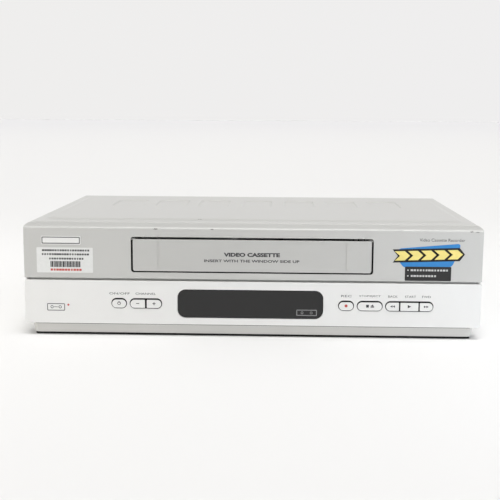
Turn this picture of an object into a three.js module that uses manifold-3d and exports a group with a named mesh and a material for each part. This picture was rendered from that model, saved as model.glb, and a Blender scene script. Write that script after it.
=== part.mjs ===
// Video cassette recorder, built as an assembly of separate pieces.
// Millimetres, +Z up. The front faces -Y, and the origin lies under the middle of the case, at table level.
// Inside the machine group y is measured back from the flat front face, so y = 0 is the front.

import * as THREE from "three";
import { mergeVertices } from "three/addons/utils/BufferGeometryUtils.js";
import Module from "manifold-3d";

const wasm = await Module();
wasm.setup();

// Levels of the front, and the gaps between pieces
const level = { plinthBottom: 2, panelBottom: 10.2, panelTop: 47, bezelBottom: 48.9, browEdge: 90.9 };
const gap = { fit: 0.3, seam: 0.4, overrun: 1 };
const round = { corner: 3, dish: 2, brow: 6, pill: 5, bore: 8, turned: 10, wheel: 16, large: 24 };

// Moulded front
const bezel = { wall: 2.4, ledge: 2, depth: 16, corner: 3.2, chamfer: 0.5, ledgeDepth: 7, tongue: 5, tongueWall: 1.6 };
bezel.frame = { front: 5, wall: 2, sideMargin: 3.2, bottomMargin: 3 };
bezel.rim = { depth: 9, wall: 2.6, floor: 1.8 };
const brow = { bendShare: 0.42, riseShare: 0.72, proud: 0.2 };
const panel = { wall: 2.4, rimWall: 1.6, depth: 16, bottomDepth: 12, topDepth: 3.2, corner: 3, topCorner: 0.8 };
panel.chamfer = 0.5;
const door = { width: 200, bottom: 54.5, top: 83.5, corner: 2.2 };
const flap = { gap: 1.1, thickness: 2.2, corner: 1.6, chamfer: 0.35, axisDepth: 2.2, axisDrop: 0.5, pinRadius: 1 };
flap.pinReach = 2.7;
flap.boss = { width: 4, depth: 1.2, height: 2.2 };
flap.rib = { width: 1.4, depth: 1.6, inset: 3 };
flap.crease = { place: 77.5, width: 1.8, depth: 0.3, margin: 1.6 };

// Cassette, which the door, the holder and the reels are sized for
const cassette = { width: 187, height: 25, depth: 103, hubSpacing: 90.4, hubFromSpine: 46, loadedSpine: 35 };

// Display window and what stands behind it
const windowSize = { width: 121.7, height: 24.2, centreX: -1.05, centreZ: 28, corner: 7, recess: 0.2, thickness: 2.4 };
windowSize.flange = { margin: 1.5, thickness: 1.2 };
windowSize.chamfer = 0.3;
const tube = { width: 98, height: 20, depth: 5, coverDepth: 2.2, coverInset: 2.4, centreX: -3, tipRadius: 1.4, tipLength: 4 };
const board = { thickness: 1.6 };
const frontBoard = { left: -126, right: 158, height: 30.5, front: 14 };
const tact = { size: 6, depth: 3.6, plungerRadius: 1.7, plungerReach: 0.7 };
const receiver = { size: 6, depth: 5, lensRadius: 2.4, x: 52, lensReach: 1.6 };

// Front keys: one row, some of them sharing a pill-shaped opening
const key = { rowZ: 27.75, openingHeight: 8.9, gap: 0.65, split: 1.1, proud: 0.6, chamfer: 0.35, travel: 0.6, stem: 3 };
key.flange = { margin: 1.4, thickness: 1 };
key.width = { standby: 13.2, channel: 13.65, record: 13.3, stop: 21.6, rewind: 12.05, play: 16.05, forward: 11.9 };
key.left = { standby: -117.4, channel: -102, record: 72, stop: 87.5, tape: 111 };
const keyGroups = [
  { left: key.left.standby, keys: [["key_standby", key.width.standby]] },
  {
    left: key.left.channel,
    keys: [
      ["key_channel_down", key.width.channel],
      ["key_channel_up", key.width.channel],
    ],
  },
  { left: key.left.record, keys: [["key_record", key.width.record]] },
  { left: key.left.stop, keys: [["key_stop", key.width.stop]] },
  {
    left: key.left.tape,
    keys: [
      ["key_rewind", key.width.rewind],
      ["key_play", key.width.play],
      ["key_forward", key.width.forward],
    ],
  },
].map(({ left, keys }) => ({ left, names: keys.map(([name]) => name), widths: keys.map(([, width]) => width) }));

// Chassis tray
const tray = { floor: 2.5, wall: 2.4, frontSetback: 2.3, sideInset: 5, draft: 1.4, corner: 4, ledge: 1.8 };
tray.rail = { height: 16, frontClear: 2 };
tray.rearWallTop = 10.6;
tray.rib = { width: 1.6, height: 3, count: 4, margin: 30 };
tray.post = { radius: 4.5, bore: 1.4, boreDepth: 8 };
tray.boss = 6;
tray.vent = { count: 5, width: 3, length: 40, pitch: 8 };
tray.frontRail = { sideMargin: 40, depth: 3.6 };
const foot = { radius: 11, recess: 6.5, recessDepth: 0.8, spigot: 2.7, spigotReach: 3.4, insetX: 30, insetY: 28 };

// Sheet steel cover
const cover = { sheet: 0.8, sideInset: 1, bend: 2, connectorReach: 10, lip: 8, lipMargin: 24 };
cover.field = { rise: 0.8, bevel: 7, sideMargin: 8, frontMargin: 17, rearMargin: 12, corner: 12 };
cover.dish = { count: 7, width: 31, length: 62, pitch: 42, depth: 0.9, bevel: 1.8, fromFront: 140, corner: 9 };
cover.vent = { count: 10, width: 3, height: 34, pitch: 9, start: 130, bottom: 34 };
const screw = { shank: 1.5, z: 17, fromFront: 44, fromRear: 28 };
const rearPanel = { sheet: 0.8, sideInset: 2.6 };
rearPanel.vent = { count: 9, width: 3, height: 16, pitch: 8, x: -78, z: 62 };

// Tape deck, which stands on four posts of the tray
const deck = { top: 22, sheet: 1.2, halfWidth: 108, front: 34, rear: 212, corner: 5, rim: 4, postInset: 8 };
deck.postFront = 16;
deck.postRear = 12;
const reel = { rim: 19, rimThickness: 3, rimLift: 2, hub: 11, hubHeight: 3, spindle: 5, spindleHeight: 17, bore: 1.8 };
reel.cone = { height: 3, radius: 2.4 };
reel.spline = { count: 3, width: 2, reach: 1.5 };
reel.studRadius = 1.5;
const lift = { travelIn: 68, travelDown: 22, sideX: 98, sheet: 1.2, length: 144, top: 88, foot: 7, footThickness: 1.2 };
lift.window = { frontMargin: 3, rearMargin: 36, bottom: 32.4, top: 76.6 };
lift.shelf = { z: 29, thickness: 1.2, width: 5.2 };
const slider = { thickness: 1.4, rackWidth: 2.6, offset: 1, rackTop: 79, tailMargin: 4, rootDrop: 3 };
const holder = { sheet: 1, sideGap: 0.7, front: 24, cheekFront: 34, rear: 70, stripWidth: 28, tailWidth: 17, tail: 20 };
holder.floorTop = 54.2;
holder.headroom = 0.7;
holder.pin = { radius: 1.9, frontY: 41, frontZ: 58, rearY: 63, rearZ: 72, slotGap: 0.3 };
holder.stop = { width: 20, height: 6, inset: 3 };
holder.roofWindow = { width: 50, depth: 20, place: 46, corner: 3 };
const rackGear = { module: 1.5, pinionTeeth: 8, shaftRadius: 2, width: 3, pinionY: 104 };
const toothShape = { addendum: 0.95, dedendum: 1.3, rootShare: 0.62, tipShare: 0.18 };

// Head drum, leaning over its base
const drum = { radius: 31, y: 180, tilt: 5.94, baseRadius: 33.5, baseHeight: 4, lowerHeight: 15.5, upperHeight: 15.5 };
drum.gap = 0.5;
drum.ledge = 0.8;
drum.ledgeLevel = 14.5;
drum.chamfer = 0.8;
drum.well = { radius: 24, depth: 3 };
drum.disc = { radius: 18, height: 1.4 };
drum.hub = { radius: 6, height: 2.6, bore: 2.2 };
drum.head = { count: 4, width: 3, height: 2, depth: 1.2 };
drum.spindle = 1.8;

// Capstan, its belt and the idler between the reels
const capstan = { x: 68, y: 128, shaft: 1.5, top: 52.5, flywheel: 25, flywheelBottom: 9.5, flywheelHeight: 4.2 };
capstan.pulley = 7;
capstan.pulleyHeight = 4;
capstan.collar = { radius: 4.5, height: 8 };
const motor = { radius: 28, thickness: 1.6, coilRadius: 5, coilHeight: 1.2, coilPlace: 17, coilCount: 6, bottom: 6.2 };
const belt = { thickness: 1.4, height: 2, groove: 1.2 };
const idler = { y: 52, pulley: 14, hub: 7, hubHeight: 3, shaft: 2, wheel: 20, wheelStud: 1.2, arm: 1.2, armWidth: 8 };
idler.wheelThickness = 2.6;

// Threading parts
const guide = { startX: 31, startY: 124, endX: 42, endY: 196, pathRadius: 120, slot: 4.4, shoeWidth: 8, shoeLength: 12 };
guide.shoeThickness = 2;
guide.roller = { radius: 3, flange: 4, bottom: 28, top: 49, offset: 0 };
guide.slant = { radius: 1.1, lean: 16, height: 20, offset: 4.5 };
guide.neck = 1.9;
const loading = { module: 1.25, gearTeeth: 32, pinionTeeth: 8, x: -75, y: 186, thickness: 4, bore: 2.8, stud: 2.5 };
loading.motor = { radius: 12, height: 13.4, bottom: 6.2 };
loading.shaft = 1;
loading.hub = { radius: 6, height: 2 };
loading.slot = { place: 12, width: 3, sweep: 60 };
const pinch = { pivotX: 88, pivotY: 160, rollerX: 58.7, rollerY: 145.6, hub: 5, hubHeight: 9, armWidth: 7, arm: 2 };
pinch.stud = 2.5;
pinch.roller = { radius: 6.5, height: 14, bottom: 36, bore: 1.8, core: 3.4, coreReach: 1 };
pinch.axle = 1.5;
const eraseHead = { x: -66, y: 136, base: 5, post: 2, block: [8, 6, 15], blockBottom: 34, footHeight: 2 };
const soundHead = { x: 58, y: 167, base: [14, 9], block: [9, 7, 17], blockBottom: 32, footHeight: 2, post: 2.4 };

// Circuit boards and sockets
const mains = { fromSide: 13, fromDeck: 4, boardFront: 60, fromRear: 7.6, boardZ: 9 };
mains.inlet = { inset: 27, width: 24, height: 20, depth: 20, nose: 2, noseWidth: 18, noseHeight: 12, cavity: 11 };
mains.inlet.pin = { radius: 1.2, spacing: 8.6, length: 8 };
mains.transformer = { width: 38, length: 34, height: 32, inset: 29, setback: 70, core: 9, bobbin: 5 };
mains.capacitor = { radius: 12, height: 34, inset: 27, setback: 28 };
mains.sink = { inset: 12, setback: 116, length: 46, height: 38, base: 2, fin: 1.2, finReach: 12, count: 6 };
const signal = { boardFront: 60, stripSetback: 10, stripReach: 208, boardZ: 9 };
signal.chip = { size: 20, height: 3 };
signal.processor = { inset: 20, setback: 36 };
signal.decoder = { inset: 48, setback: 70 };
signal.amplifier = { inset: 22, setback: 100 };
signal.can = { radius: 5, height: 12 };
signal.frontCan = { inset: 58, setback: 16 };
signal.middleCan = { inset: 58, setback: 32 };
signal.rearCan = { inset: 12, setback: 130 };
const tuner = { width: 30, length: 60, height: 46, inset: 13, seat: 1, wall: 1.2 };
tuner.socket = { radius: 6.5, bore: 4.75, pin: 1.15, lowerRise: 19.1, upperDrop: 4.9, innerDepth: 8 };
const scart = { width: 50, height: 17, depth: 22, x: 96, lowerZ: 20, upperZ: 42, mouthWidth: 44, mouthHeight: 12.8 };
scart.cavity = 14;
scart.slope = 5;
scart.tongue = { width: 38, height: 2.4, depth: 11 };
scart.nose = 2;
scart.web = 6;
const phono = { x: 36, spacing: 18, z: 34, body: 14, depth: 16, ring: 4.4, ringBore: 3.1, ringReach: 8, pinBore: 1.6 };

// The case is sized by the deck, the lift and the room left beside, behind and above them
const bay = { side: 82, rear: 48, above: 7 };
const overall = {
  width: 2 * (deck.halfWidth + bay.side),
  depth: deck.rear + bay.rear,
  height: lift.top + bay.above,
};

// Places worked out from the sizes above
const halfWidth = overall.width / 2;
const coverFront = bezel.depth + gap.seam;
const coverRear = overall.depth - cover.connectorReach;
const coverTop = overall.height - cover.field.rise;
const coverHalf = halfWidth - cover.sideInset;
const coverInner = coverHalf - cover.sheet;
const coverBottom = level.panelBottom + gap.seam;
const socketRear = overall.depth - key.proud;
const rearFace = coverRear - cover.sheet - gap.seam;
const rearPanelFront = rearFace - rearPanel.sheet;
const trayRear = rearPanelFront - gap.seam;
const trayFloorTop = level.plinthBottom + tray.floor;
const deckBottom = deck.top - deck.sheet;
const hubY = cassette.loadedSpine + cassette.hubFromSpine;
const reelSpinZ = deck.top + gap.fit;
const flapBottom = door.bottom + flap.gap;
const flapTop = door.top - flap.gap;
const flapHalf = door.width / 2 - flap.gap;
const flapAxis = { y: flap.axisDepth, z: flapTop - flap.axisDrop };
const holderHalf = cassette.width / 2 + holder.sideGap;
const holderRoof = holder.floorTop + cassette.height + holder.headroom;
const rackPitchZ = slider.rackTop - rackGear.module;
const pinionRadius = (rackGear.module * rackGear.pinionTeeth) / 2;
const shaftZ = rackPitchZ + pinionRadius;
const sliderX = lift.sideX + lift.sheet + slider.offset;
const boardTop = mains.boardZ + board.thickness;

// Boards fill the bays beside the deck, and what stands on them is placed from their edges
const boardOuter = halfWidth - mains.fromSide;
const boardInner = deck.halfWidth + mains.fromDeck;
const boardRear = trayRear - mains.fromRear;
const onMains = ({ inset, setback }) => ({ x: inset - boardOuter, y: mains.boardFront + setback });
const onSignal = ({ inset, setback }) => ({ x: boardInner + inset, y: signal.boardFront + setback });
const sinkPlace = { x: -boardInner - mains.sink.inset, y: mains.boardFront + mains.sink.setback };
const inletX = mains.inlet.inset - boardOuter;
const tunerX = boardOuter - tuner.inset;
const tunerRear = rearPanelFront - tuner.seat;
const tunerBottom = boardTop + gap.fit;
const aerialHeights = [tunerBottom + tuner.socket.lowerRise, tunerBottom + tuner.height - tuner.socket.upperDrop];

// Surface finishes
const finish = (color, roughness, metalness) => new THREE.MeshStandardMaterial({ color, roughness, metalness });
const paint = {
  silverGrey: finish(0xbfbfbb, 0.42, 0.35),
  brightSilver: finish(0xe6e6e4, 0.4, 0.25),
  coverSilver: finish(0xd2d2ce, 0.45, 0.4),
  trayGrey: finish(0xc2c1bb, 0.6, 0.1),
  smoked: finish(0x2b2a2b, 0.12, 0),
  glass: finish(0x55605f, 0.15, 0),
  zinc: finish(0xa9abad, 0.4, 0.9),
  steel: finish(0xc9ccd0, 0.25, 1),
  alloy: finish(0xd6d8da, 0.3, 1),
  black: finish(0x1c1c1d, 0.55, 0),
  ivory: finish(0xe4dfd0, 0.5, 0),
  rubber: finish(0x242424, 0.85, 0),
  greenBoard: finish(0x2f6b3d, 0.55, 0),
  brownBoard: finish(0x9b7a4b, 0.6, 0),
  copper: finish(0xb5703a, 0.4, 0.9),
  ferrite: finish(0x3b3c3e, 0.7, 0.1),
};

// A closed geometry as a manifold solid, with its faces turned out
function toSolid(geometry) {
  const bare = geometry.index ? geometry.toNonIndexed() : geometry.clone();
  for (const name of Object.keys(bare.attributes)) {
    if (name !== "position") bare.deleteAttribute(name);
  }
  const merged = mergeVertices(bare, gap.fit / 1000);
  const triVerts = new Uint32Array(merged.index.array);
  const vertProperties = merged.attributes.position.array;
  const made = new wasm.Manifold(new wasm.Mesh({ numProp: 3, vertProperties, triVerts }));
  if (made.volume() > 0) return made;
  return new wasm.Manifold(new wasm.Mesh({ numProp: 3, vertProperties, triVerts: triVerts.reverse() }));
}

function toGeometry(solid) {
  const mesh = solid.getMesh();
  const geometry = new THREE.BufferGeometry();
  geometry.setAttribute("position", new THREE.BufferAttribute(mesh.vertProperties, 3));
  geometry.setIndex(new THREE.BufferAttribute(mesh.triVerts, 1));
  geometry.computeVertexNormals();
  return geometry;
}

const join = (...solids) => solids.flat().reduce((a, b) => a.add(b));
const cut = (solid, ...tools) => tools.flat().reduce((a, b) => a.subtract(b), solid);
const common = (a, b) => a.intersect(b);
const around = (centre, size) => [centre - size / 2, centre + size / 2];
const radians = THREE.MathUtils.degToRad;

// Where a flat outline's two directions and its thickness point, for a thickness along x, y or z
const bases = {
  x: [new THREE.Vector3(0, 1, 0), new THREE.Vector3(0, 0, 1), new THREE.Vector3(1, 0, 0)],
  y: [new THREE.Vector3(1, 0, 0), new THREE.Vector3(0, 0, 1), new THREE.Vector3(0, -1, 0)],
  z: [new THREE.Vector3(1, 0, 0), new THREE.Vector3(0, 1, 0), new THREE.Vector3(0, 0, 1)],
};

// Turns a geometry drawn with its thickness along z so that it lies along the named axis
function lay(geometry, axis) {
  return geometry.applyMatrix4(new THREE.Matrix4().makeBasis(...bases[axis]));
}

// A block between pairs of limits along x, y and z
function block([x0, x1], [y0, y1], [z0, z1]) {
  const geometry = new THREE.BoxGeometry(x1 - x0, y1 - y0, z1 - z0);
  return toSolid(geometry.translate((x0 + x1) / 2, (y0 + y1) / 2, (z0 + z1) / 2));
}

// A flat outline given a thickness along an axis, between two limits
function slab(axis, outline, [from, to], curveSegments = round.corner) {
  const shape = Array.isArray(outline) ? new THREE.Shape(outline) : outline;
  const geometry = new THREE.ExtrudeGeometry(shape, {
    depth: to - from,
    bevelEnabled: false,
    curveSegments,
  });
  return toSolid(lay(geometry.translate(0, 0, axis === "y" ? -to : from), axis));
}

// A solid through outlines with the same number of points, one at each place along the axis
function loft(axis, sections) {
  const count = sections[0].points.length;
  const sign = axis === "y" ? -1 : 1;
  const positions = sections.flatMap(({ at, points }) => points.flatMap((p) => [p.x, p.y, sign * at]));
  const index = [];
  sections.slice(1).forEach((_, row) => {
    for (let i = 0; i < count; i += 1) {
      const a = row * count + i;
      const b = row * count + ((i + 1) % count);
      index.push(a, b, b + count, a, b + count, a + count);
    }
  });
  const last = (sections.length - 1) * count;
  for (const [a, b, c] of THREE.ShapeUtils.triangulateShape(sections[0].points, [])) index.push(c, b, a);
  for (const [a, b, c] of THREE.ShapeUtils.triangulateShape(sections.at(-1).points, [])) {
    index.push(last + a, last + b, last + c);
  }
  const geometry = new THREE.BufferGeometry();
  geometry.setAttribute("position", new THREE.Float32BufferAttribute(positions, 3));
  geometry.setIndex(index);
  return toSolid(lay(geometry, axis));
}

// A turned piece about z, from [radius, height] pairs that start and end on the axis or close on themselves
function turned(profile, steps = round.turned) {
  const points = profile.map(([r, h]) => new THREE.Vector2(r, h));
  return toSolid(new THREE.LatheGeometry(points, steps).rotateX(Math.PI / 2));
}

function rod(axis, [u, v], radius, [from, to], steps = round.turned) {
  const geometry = new THREE.CylinderGeometry(radius, radius, to - from, steps);
  const middle = (from + to) / 2;
  if (axis === "z") geometry.rotateX(Math.PI / 2).translate(u, v, middle);
  if (axis === "x") geometry.rotateZ(Math.PI / 2).translate(middle, u, v);
  if (axis === "y") geometry.translate(u, middle, v);
  return toSolid(geometry);
}

// Rectangle with rounded corners, counter-clockwise from lower left; a radius of 0 leaves a sharp corner
function roundedOutline([x0, x1], [y0, y1], radii, steps = round.corner) {
  const [r0, r1, r2, r3] = Array.isArray(radii) ? radii : [radii, radii, radii, radii];
  const corners = [
    [x0 + r0, y0 + r0, r0, Math.PI],
    [x1 - r1, y0 + r1, r1, 1.5 * Math.PI],
    [x1 - r2, y1 - r2, r2, 0],
    [x0 + r3, y1 - r3, r3, 0.5 * Math.PI],
  ];
  return corners.flatMap(([x, y, r, start]) => {
    if (r === 0) return [new THREE.Vector2(x, y)];
    return Array.from({ length: steps + 1 }, (_, i) => {
      const angle = start + (i / steps) * 0.5 * Math.PI;
      return new THREE.Vector2(x + r * Math.cos(angle), y + r * Math.sin(angle));
    });
  });
}

// Grows a pair of limits at both ends
const grown = ([a, b], by) => [a - by, b + by];

// A rounded plate whose face toward the low end of the axis has a chamfered rim
function chamferedPlate(axis, across, up, radii, [from, to], chamfer, steps = round.corner) {
  const list = Array.isArray(radii) ? radii : [radii, radii, radii, radii];
  const inner = list.map((r) => Math.max(r - chamfer, r / 2));
  return loft(axis, [
    { at: from, points: roundedOutline(grown(across, -chamfer), grown(up, -chamfer), inner, steps) },
    { at: from + chamfer, points: roundedOutline(across, up, list, steps) },
    { at: to, points: roundedOutline(across, up, list, steps) },
  ]);
}

const machine = new THREE.Group();
machine.position.y = key.proud - overall.depth / 2;
const housing = new THREE.Group();
const front = new THREE.Group();
const transport = new THREE.Group();
const electronics = new THREE.Group();
machine.add(housing, front, transport, electronics);

function place(parent, name, solid, material, position = [0, 0, 0]) {
  const mesh = new THREE.Mesh(toGeometry(solid), material);
  mesh.name = name;
  mesh.position.set(...position);
  parent.add(mesh);
  return mesh;
}

// The front bezel's upper shell: a flat face, a brow that curves back to the cover, and rounded shoulders
function bezelShell(inset) {
  const bottom = level.bezelBottom + inset * (bezel.ledge / bezel.wall);
  const backTop = coverTop + brow.proud - inset;
  const browZ = level.browEdge - inset;
  const end = bezel.depth + (inset ? gap.overrun : 0);
  const profile = new THREE.Shape();
  profile.moveTo(inset, bottom);
  profile.lineTo(inset, browZ - bezel.chamfer);
  profile.lineTo(inset + bezel.chamfer, browZ);
  profile.quadraticCurveTo(
    inset + bezel.depth * brow.bendShare,
    browZ + (backTop - browZ) * brow.riseShare,
    end,
    backTop,
  );
  profile.lineTo(end, bottom);
  const half = halfWidth - inset;
  const corner = bezel.corner - inset;
  const facing = roundedOutline([-half, half], [bottom - gap.overrun, coverTop + brow.proud - inset], [
    0,
    0,
    corner,
    corner,
  ]);
  return common(slab("x", profile, [-half, half], round.brow), slab("y", facing, [-gap.overrun, end + gap.overrun]));
}

function frontBezel() {
  const half = halfWidth - bezel.wall;
  const behindLedge = [bezel.ledgeDepth, bezel.depth + gap.overrun];
  const ledgeBand = [level.bezelBottom - gap.overrun, level.bezelBottom + bezel.ledge + gap.overrun];
  const shell = cut(bezelShell(0), bezelShell(bezel.wall), block([-half, half], behindLedge, ledgeBand));
  const through = [-gap.overrun, bezel.wall + gap.overrun];

  // Rim round the cassette door, which also carries the flap's pivots
  const doorAcross = around(0, door.width);
  const rimOuter = block(
    grown(doorAcross, bezel.rim.wall),
    [bezel.wall / 2, bezel.rim.depth],
    [door.bottom - bezel.rim.floor, door.top + bezel.rim.floor],
  );
  const rimInner = block(
    doorAcross,
    [-gap.overrun, bezel.rim.depth + gap.overrun],
    [door.bottom, door.top + bezel.rim.floor + gap.overrun],
  );
  const opening = slab("y", roundedOutline(doorAcross, [door.bottom, door.top], door.corner), through);
  const pivots = rod(
    "x",
    [flapAxis.y, flapAxis.z],
    flap.pinRadius + gap.fit,
    around(0, door.width + 2 * (flap.pinReach - flap.gap + gap.fit)),
    round.turned,
  );

  // Frame behind the control panel
  const frameHalf = halfWidth - panel.wall - bezel.frame.sideMargin / 4;
  const frameSpan = [bezel.frame.front, bezel.frame.front + bezel.frame.wall];
  const frameBottom = level.panelBottom + bezel.frame.bottomMargin;
  const frame = block([-frameHalf, frameHalf], frameSpan, [frameBottom, level.bezelBottom + bezel.ledge]);
  const frameThrough = grown(frameSpan, gap.overrun);
  const flange = windowSize.flange.margin + gap.overrun;
  const windowHole = block(
    grown(around(windowSize.centreX, windowSize.width), flange),
    frameThrough,
    [windowSize.centreZ - windowSize.height / 2 - flange + gap.overrun, level.panelTop - bezel.frame.wall],
  );
  const keyHoles = keyGroups.map(({ left, widths }) => {
    const width = widths.reduce((a, b) => a + b);
    const height = key.openingHeight + 2 * key.flange.margin;
    return block([left, left + width], frameThrough, around(key.rowZ, height));
  });

  // Tongue that slips under the front edge of the cover
  const under = cover.sheet + gap.seam;
  const tongueHalf = coverHalf - under;
  const tongueSpan = [bezel.depth - bezel.wall, bezel.depth + bezel.tongue];
  const tongueOuter = slab(
    "y",
    roundedOutline([-tongueHalf, tongueHalf], [level.bezelBottom, coverTop - under], [
      0,
      0,
      cover.bend - under,
      cover.bend - under,
    ]),
    tongueSpan,
  );
  const tongueInner = block(
    grown([-tongueHalf, tongueHalf], -bezel.tongueWall),
    grown(tongueSpan, gap.overrun),
    [level.bezelBottom - gap.overrun, coverTop - under - bezel.tongueWall],
  );
  const solid = join(shell, cut(rimOuter, rimInner), cut(tongueOuter, tongueInner));
  return join(cut(solid, opening, pivots), cut(frame, windowHole, keyHoles));
}

function controlPanel() {
  const across = around(0, overall.width);
  const up = [level.panelBottom, level.panelTop];
  const radii = [panel.corner, panel.corner, panel.topCorner, panel.topCorner];
  const outer = chamferedPlate("y", across, up, radii, [0, panel.depth], panel.chamfer);
  const inside = grown(across, -panel.wall);
  const cavity = block(
    inside,
    [panel.wall, panel.depth + gap.overrun],
    [level.panelBottom + panel.rimWall, level.panelTop - panel.rimWall],
  );
  const behindTop = block(
    inside,
    [panel.topDepth, panel.depth + gap.overrun],
    [level.panelTop - panel.rimWall - gap.overrun, level.panelTop + gap.overrun],
  );
  const behindBottom = block(
    inside,
    [panel.bottomDepth, panel.depth + gap.overrun],
    [level.panelBottom - gap.overrun, level.panelBottom + panel.rimWall + gap.overrun],
  );
  const through = [-gap.overrun, panel.wall + gap.overrun];
  const windowHole = slab(
    "y",
    roundedOutline(
      around(windowSize.centreX, windowSize.width),
      around(windowSize.centreZ, windowSize.height),
      windowSize.corner,
      round.pill,
    ),
    through,
  );
  const keyHoles = keyGroups.map(({ left, widths }) => {
    const width = widths.reduce((a, b) => a + b);
    const pill = roundedOutline(
      [left, left + width],
      around(key.rowZ, key.openingHeight),
      key.openingHeight / 2,
      round.pill,
    );
    return slab("y", pill, through);
  });
  return cut(outer, cavity, behindTop, behindBottom, windowHole, keyHoles);
}

// A key cap with a flange that holds it behind the panel and a stem that reaches its switch
function keyCap(width, roundLeft, roundRight) {
  const height = key.openingHeight - 2 * key.gap;
  const r = height / 2;
  const square = height / 12;
  const radii = [roundLeft ? r : square, roundRight ? r : square, roundRight ? r : square, roundLeft ? r : square];
  const flangeFront = panel.wall + gap.fit;
  const flangeBack = flangeFront + key.flange.thickness;
  const across = around(0, width);
  const cap = chamferedPlate(
    "y",
    across,
    around(0, height),
    radii,
    [-key.proud, flangeBack],
    key.chamfer,
  );
  const flange = block(
    across,
    [flangeFront, flangeBack],
    around(0, key.openingHeight + 2 * key.flange.margin - 2 * key.gap),
  );
  const stemEnd = frontBoard.front - tact.depth - tact.plungerReach - key.travel - gap.fit / 3;
  const stem = block(around(0, key.stem), [flangeFront, stemEnd], around(0, key.stem));
  return join(cap, flange, stem);
}

// Each key's name, its middle and its cap's width, worked out along its shared opening
function keyPlaces() {
  return keyGroups.flatMap(({ left, widths, names }) => {
    let x = left;
    return names.map((name, i) => {
      const first = i === 0;
      const final = i === names.length - 1;
      const from = x + (first ? key.gap : key.split / 2);
      const to = x + widths[i] - (final ? key.gap : key.split / 2);
      x += widths[i];
      return { name, centre: (from + to) / 2, width: to - from, first, final };
    });
  });
}

function cassetteFlap() {
  const across = [-flapHalf, flapHalf];
  const plate = chamferedPlate("y", across, [flapBottom, flapTop], flap.corner, [0, flap.thickness], flap.chamfer);
  const back = [flap.thickness / 2, flap.thickness + flap.rib.depth];
  const ribs = [-1, 1].map((side) => {
    const x = side * (flapHalf - flap.rib.inset);
    return block(around(x, flap.rib.width), back, [flapBottom + flap.rib.inset, flapTop - 2 * flap.rib.inset]);
  });
  const foot = block(
    grown(across, -flap.rib.inset),
    back,
    [flapBottom + flap.rib.inset / 2, flapBottom + flap.rib.inset / 2 + flap.rib.width],
  );
  const bosses = [-1, 1].map((side) => {
    const x = side * (flapHalf - flap.boss.width / 2);
    return block(
      around(x, flap.boss.width),
      [flap.thickness / 2, flapAxis.y + flap.boss.depth],
      [flapTop - flap.boss.height, flapTop - flap.chamfer],
    );
  });
  const pins = [-1, 1].map((side) => {
    const limits = [flapHalf - flap.boss.width / 2, flapHalf + flap.pinReach].map((x) => side * x);
    return rod("x", [flapAxis.y, flapAxis.z], flap.pinRadius, limits.sort((a, b) => a - b), round.bore);
  });
  const creases = [-1, 1].map((side) =>
    block(
      around(side * flap.crease.place, flap.crease.width),
      [-gap.overrun, flap.crease.depth],
      [flapBottom + flap.crease.margin, flapTop - flap.crease.margin],
    ),
  );
  return cut(join(plate, ribs, foot, bosses, pins), creases);
}

function displayWindow() {
  const across = around(windowSize.centreX, windowSize.width - 2 * gap.fit);
  const up = around(windowSize.centreZ, windowSize.height - 2 * gap.fit);
  const flangeFront = panel.wall + gap.fit;
  const flangeSpan = [flangeFront, flangeFront + windowSize.flange.thickness];
  const lens = chamferedPlate(
    "y",
    across,
    up,
    windowSize.corner - gap.fit,
    [windowSize.recess, flangeSpan[1]],
    windowSize.chamfer,
    round.pill,
  );
  const margin = windowSize.flange.margin + gap.fit;
  const flange = slab(
    "y",
    roundedOutline(grown(across, margin), grown(up, margin), windowSize.corner + windowSize.flange.margin),
    flangeSpan,
  );
  return join(lens, flange);
}

// Vacuum fluorescent display: a thick glass back with a thinner cover glass and its sealed tip
function displayTube() {
  const rear = frontBoard.front - gap.fit;
  const across = around(tube.centreX, tube.width);
  const up = around(windowSize.centreZ, tube.height);
  const back = block(across, [rear - tube.depth, rear], up);
  const glass = block(
    grown(across, -tube.coverInset),
    [rear - tube.depth - tube.coverDepth, rear - tube.depth / 2],
    grown(up, -tube.coverInset),
  );
  const tip = rod(
    "x",
    [rear - tube.depth / 2, windowSize.centreZ],
    tube.tipRadius,
    [tube.centreX - tube.width / 2 - tube.tipLength, tube.centreX],
    round.bore,
  );
  return join(back, glass, tip);
}

function frontCircuitBoard() {
  const bottom = tray.frontRailTop + gap.fit;
  const plate = block(
    [frontBoard.left, frontBoard.right],
    [frontBoard.front, frontBoard.front + board.thickness],
    [bottom, bottom + frontBoard.height],
  );
  const switches = keyPlaces().flatMap(({ centre }) => {
    const face = frontBoard.front - tact.depth;
    return [
      block(around(centre, tact.size), [face, frontBoard.front + board.thickness / 2], around(key.rowZ, tact.size)),
      rod("y", [centre, key.rowZ], tact.plungerRadius, [face - tact.plungerReach, face + gap.overrun], round.bore),
    ];
  });
  const face = frontBoard.front - receiver.depth;
  const eye = [
    block(
      around(receiver.x, receiver.size),
      [face, frontBoard.front + board.thickness / 2],
      around(windowSize.centreZ, receiver.size),
    ),
    rod(
      "y",
      [receiver.x, windowSize.centreZ],
      receiver.lensRadius,
      [face - receiver.lensReach, face + gap.overrun],
      round.bore,
    ),
  ];
  return join(plate, switches, eye);
}

// Outline of the tray's bottom moulding at a height, drawn in by its draft below
function trayOutline(inset) {
  const half = halfWidth - tray.sideInset - inset;
  return roundedOutline([-half, half], [tray.frontSetback + inset / 2, trayRear - inset / 4], tray.corner);
}

const footPlaces = [
  { name: "foot_front_left", x: -1, y: foot.insetY },
  { name: "foot_front_right", x: 1, y: foot.insetY },
  { name: "foot_rear_left", x: -1, y: trayRear - foot.insetY },
  { name: "foot_rear_right", x: 1, y: trayRear - foot.insetY },
].map(({ name, x, y }) => ({ name, x: x * (halfWidth - foot.insetX), y }));

const postX = deck.halfWidth - deck.postInset;
const deckPosts = [deck.front + deck.postFront, deck.rear - deck.postRear].flatMap((y) =>
  [-postX, postX].map((x) => ({ x, y })),
);

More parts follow.
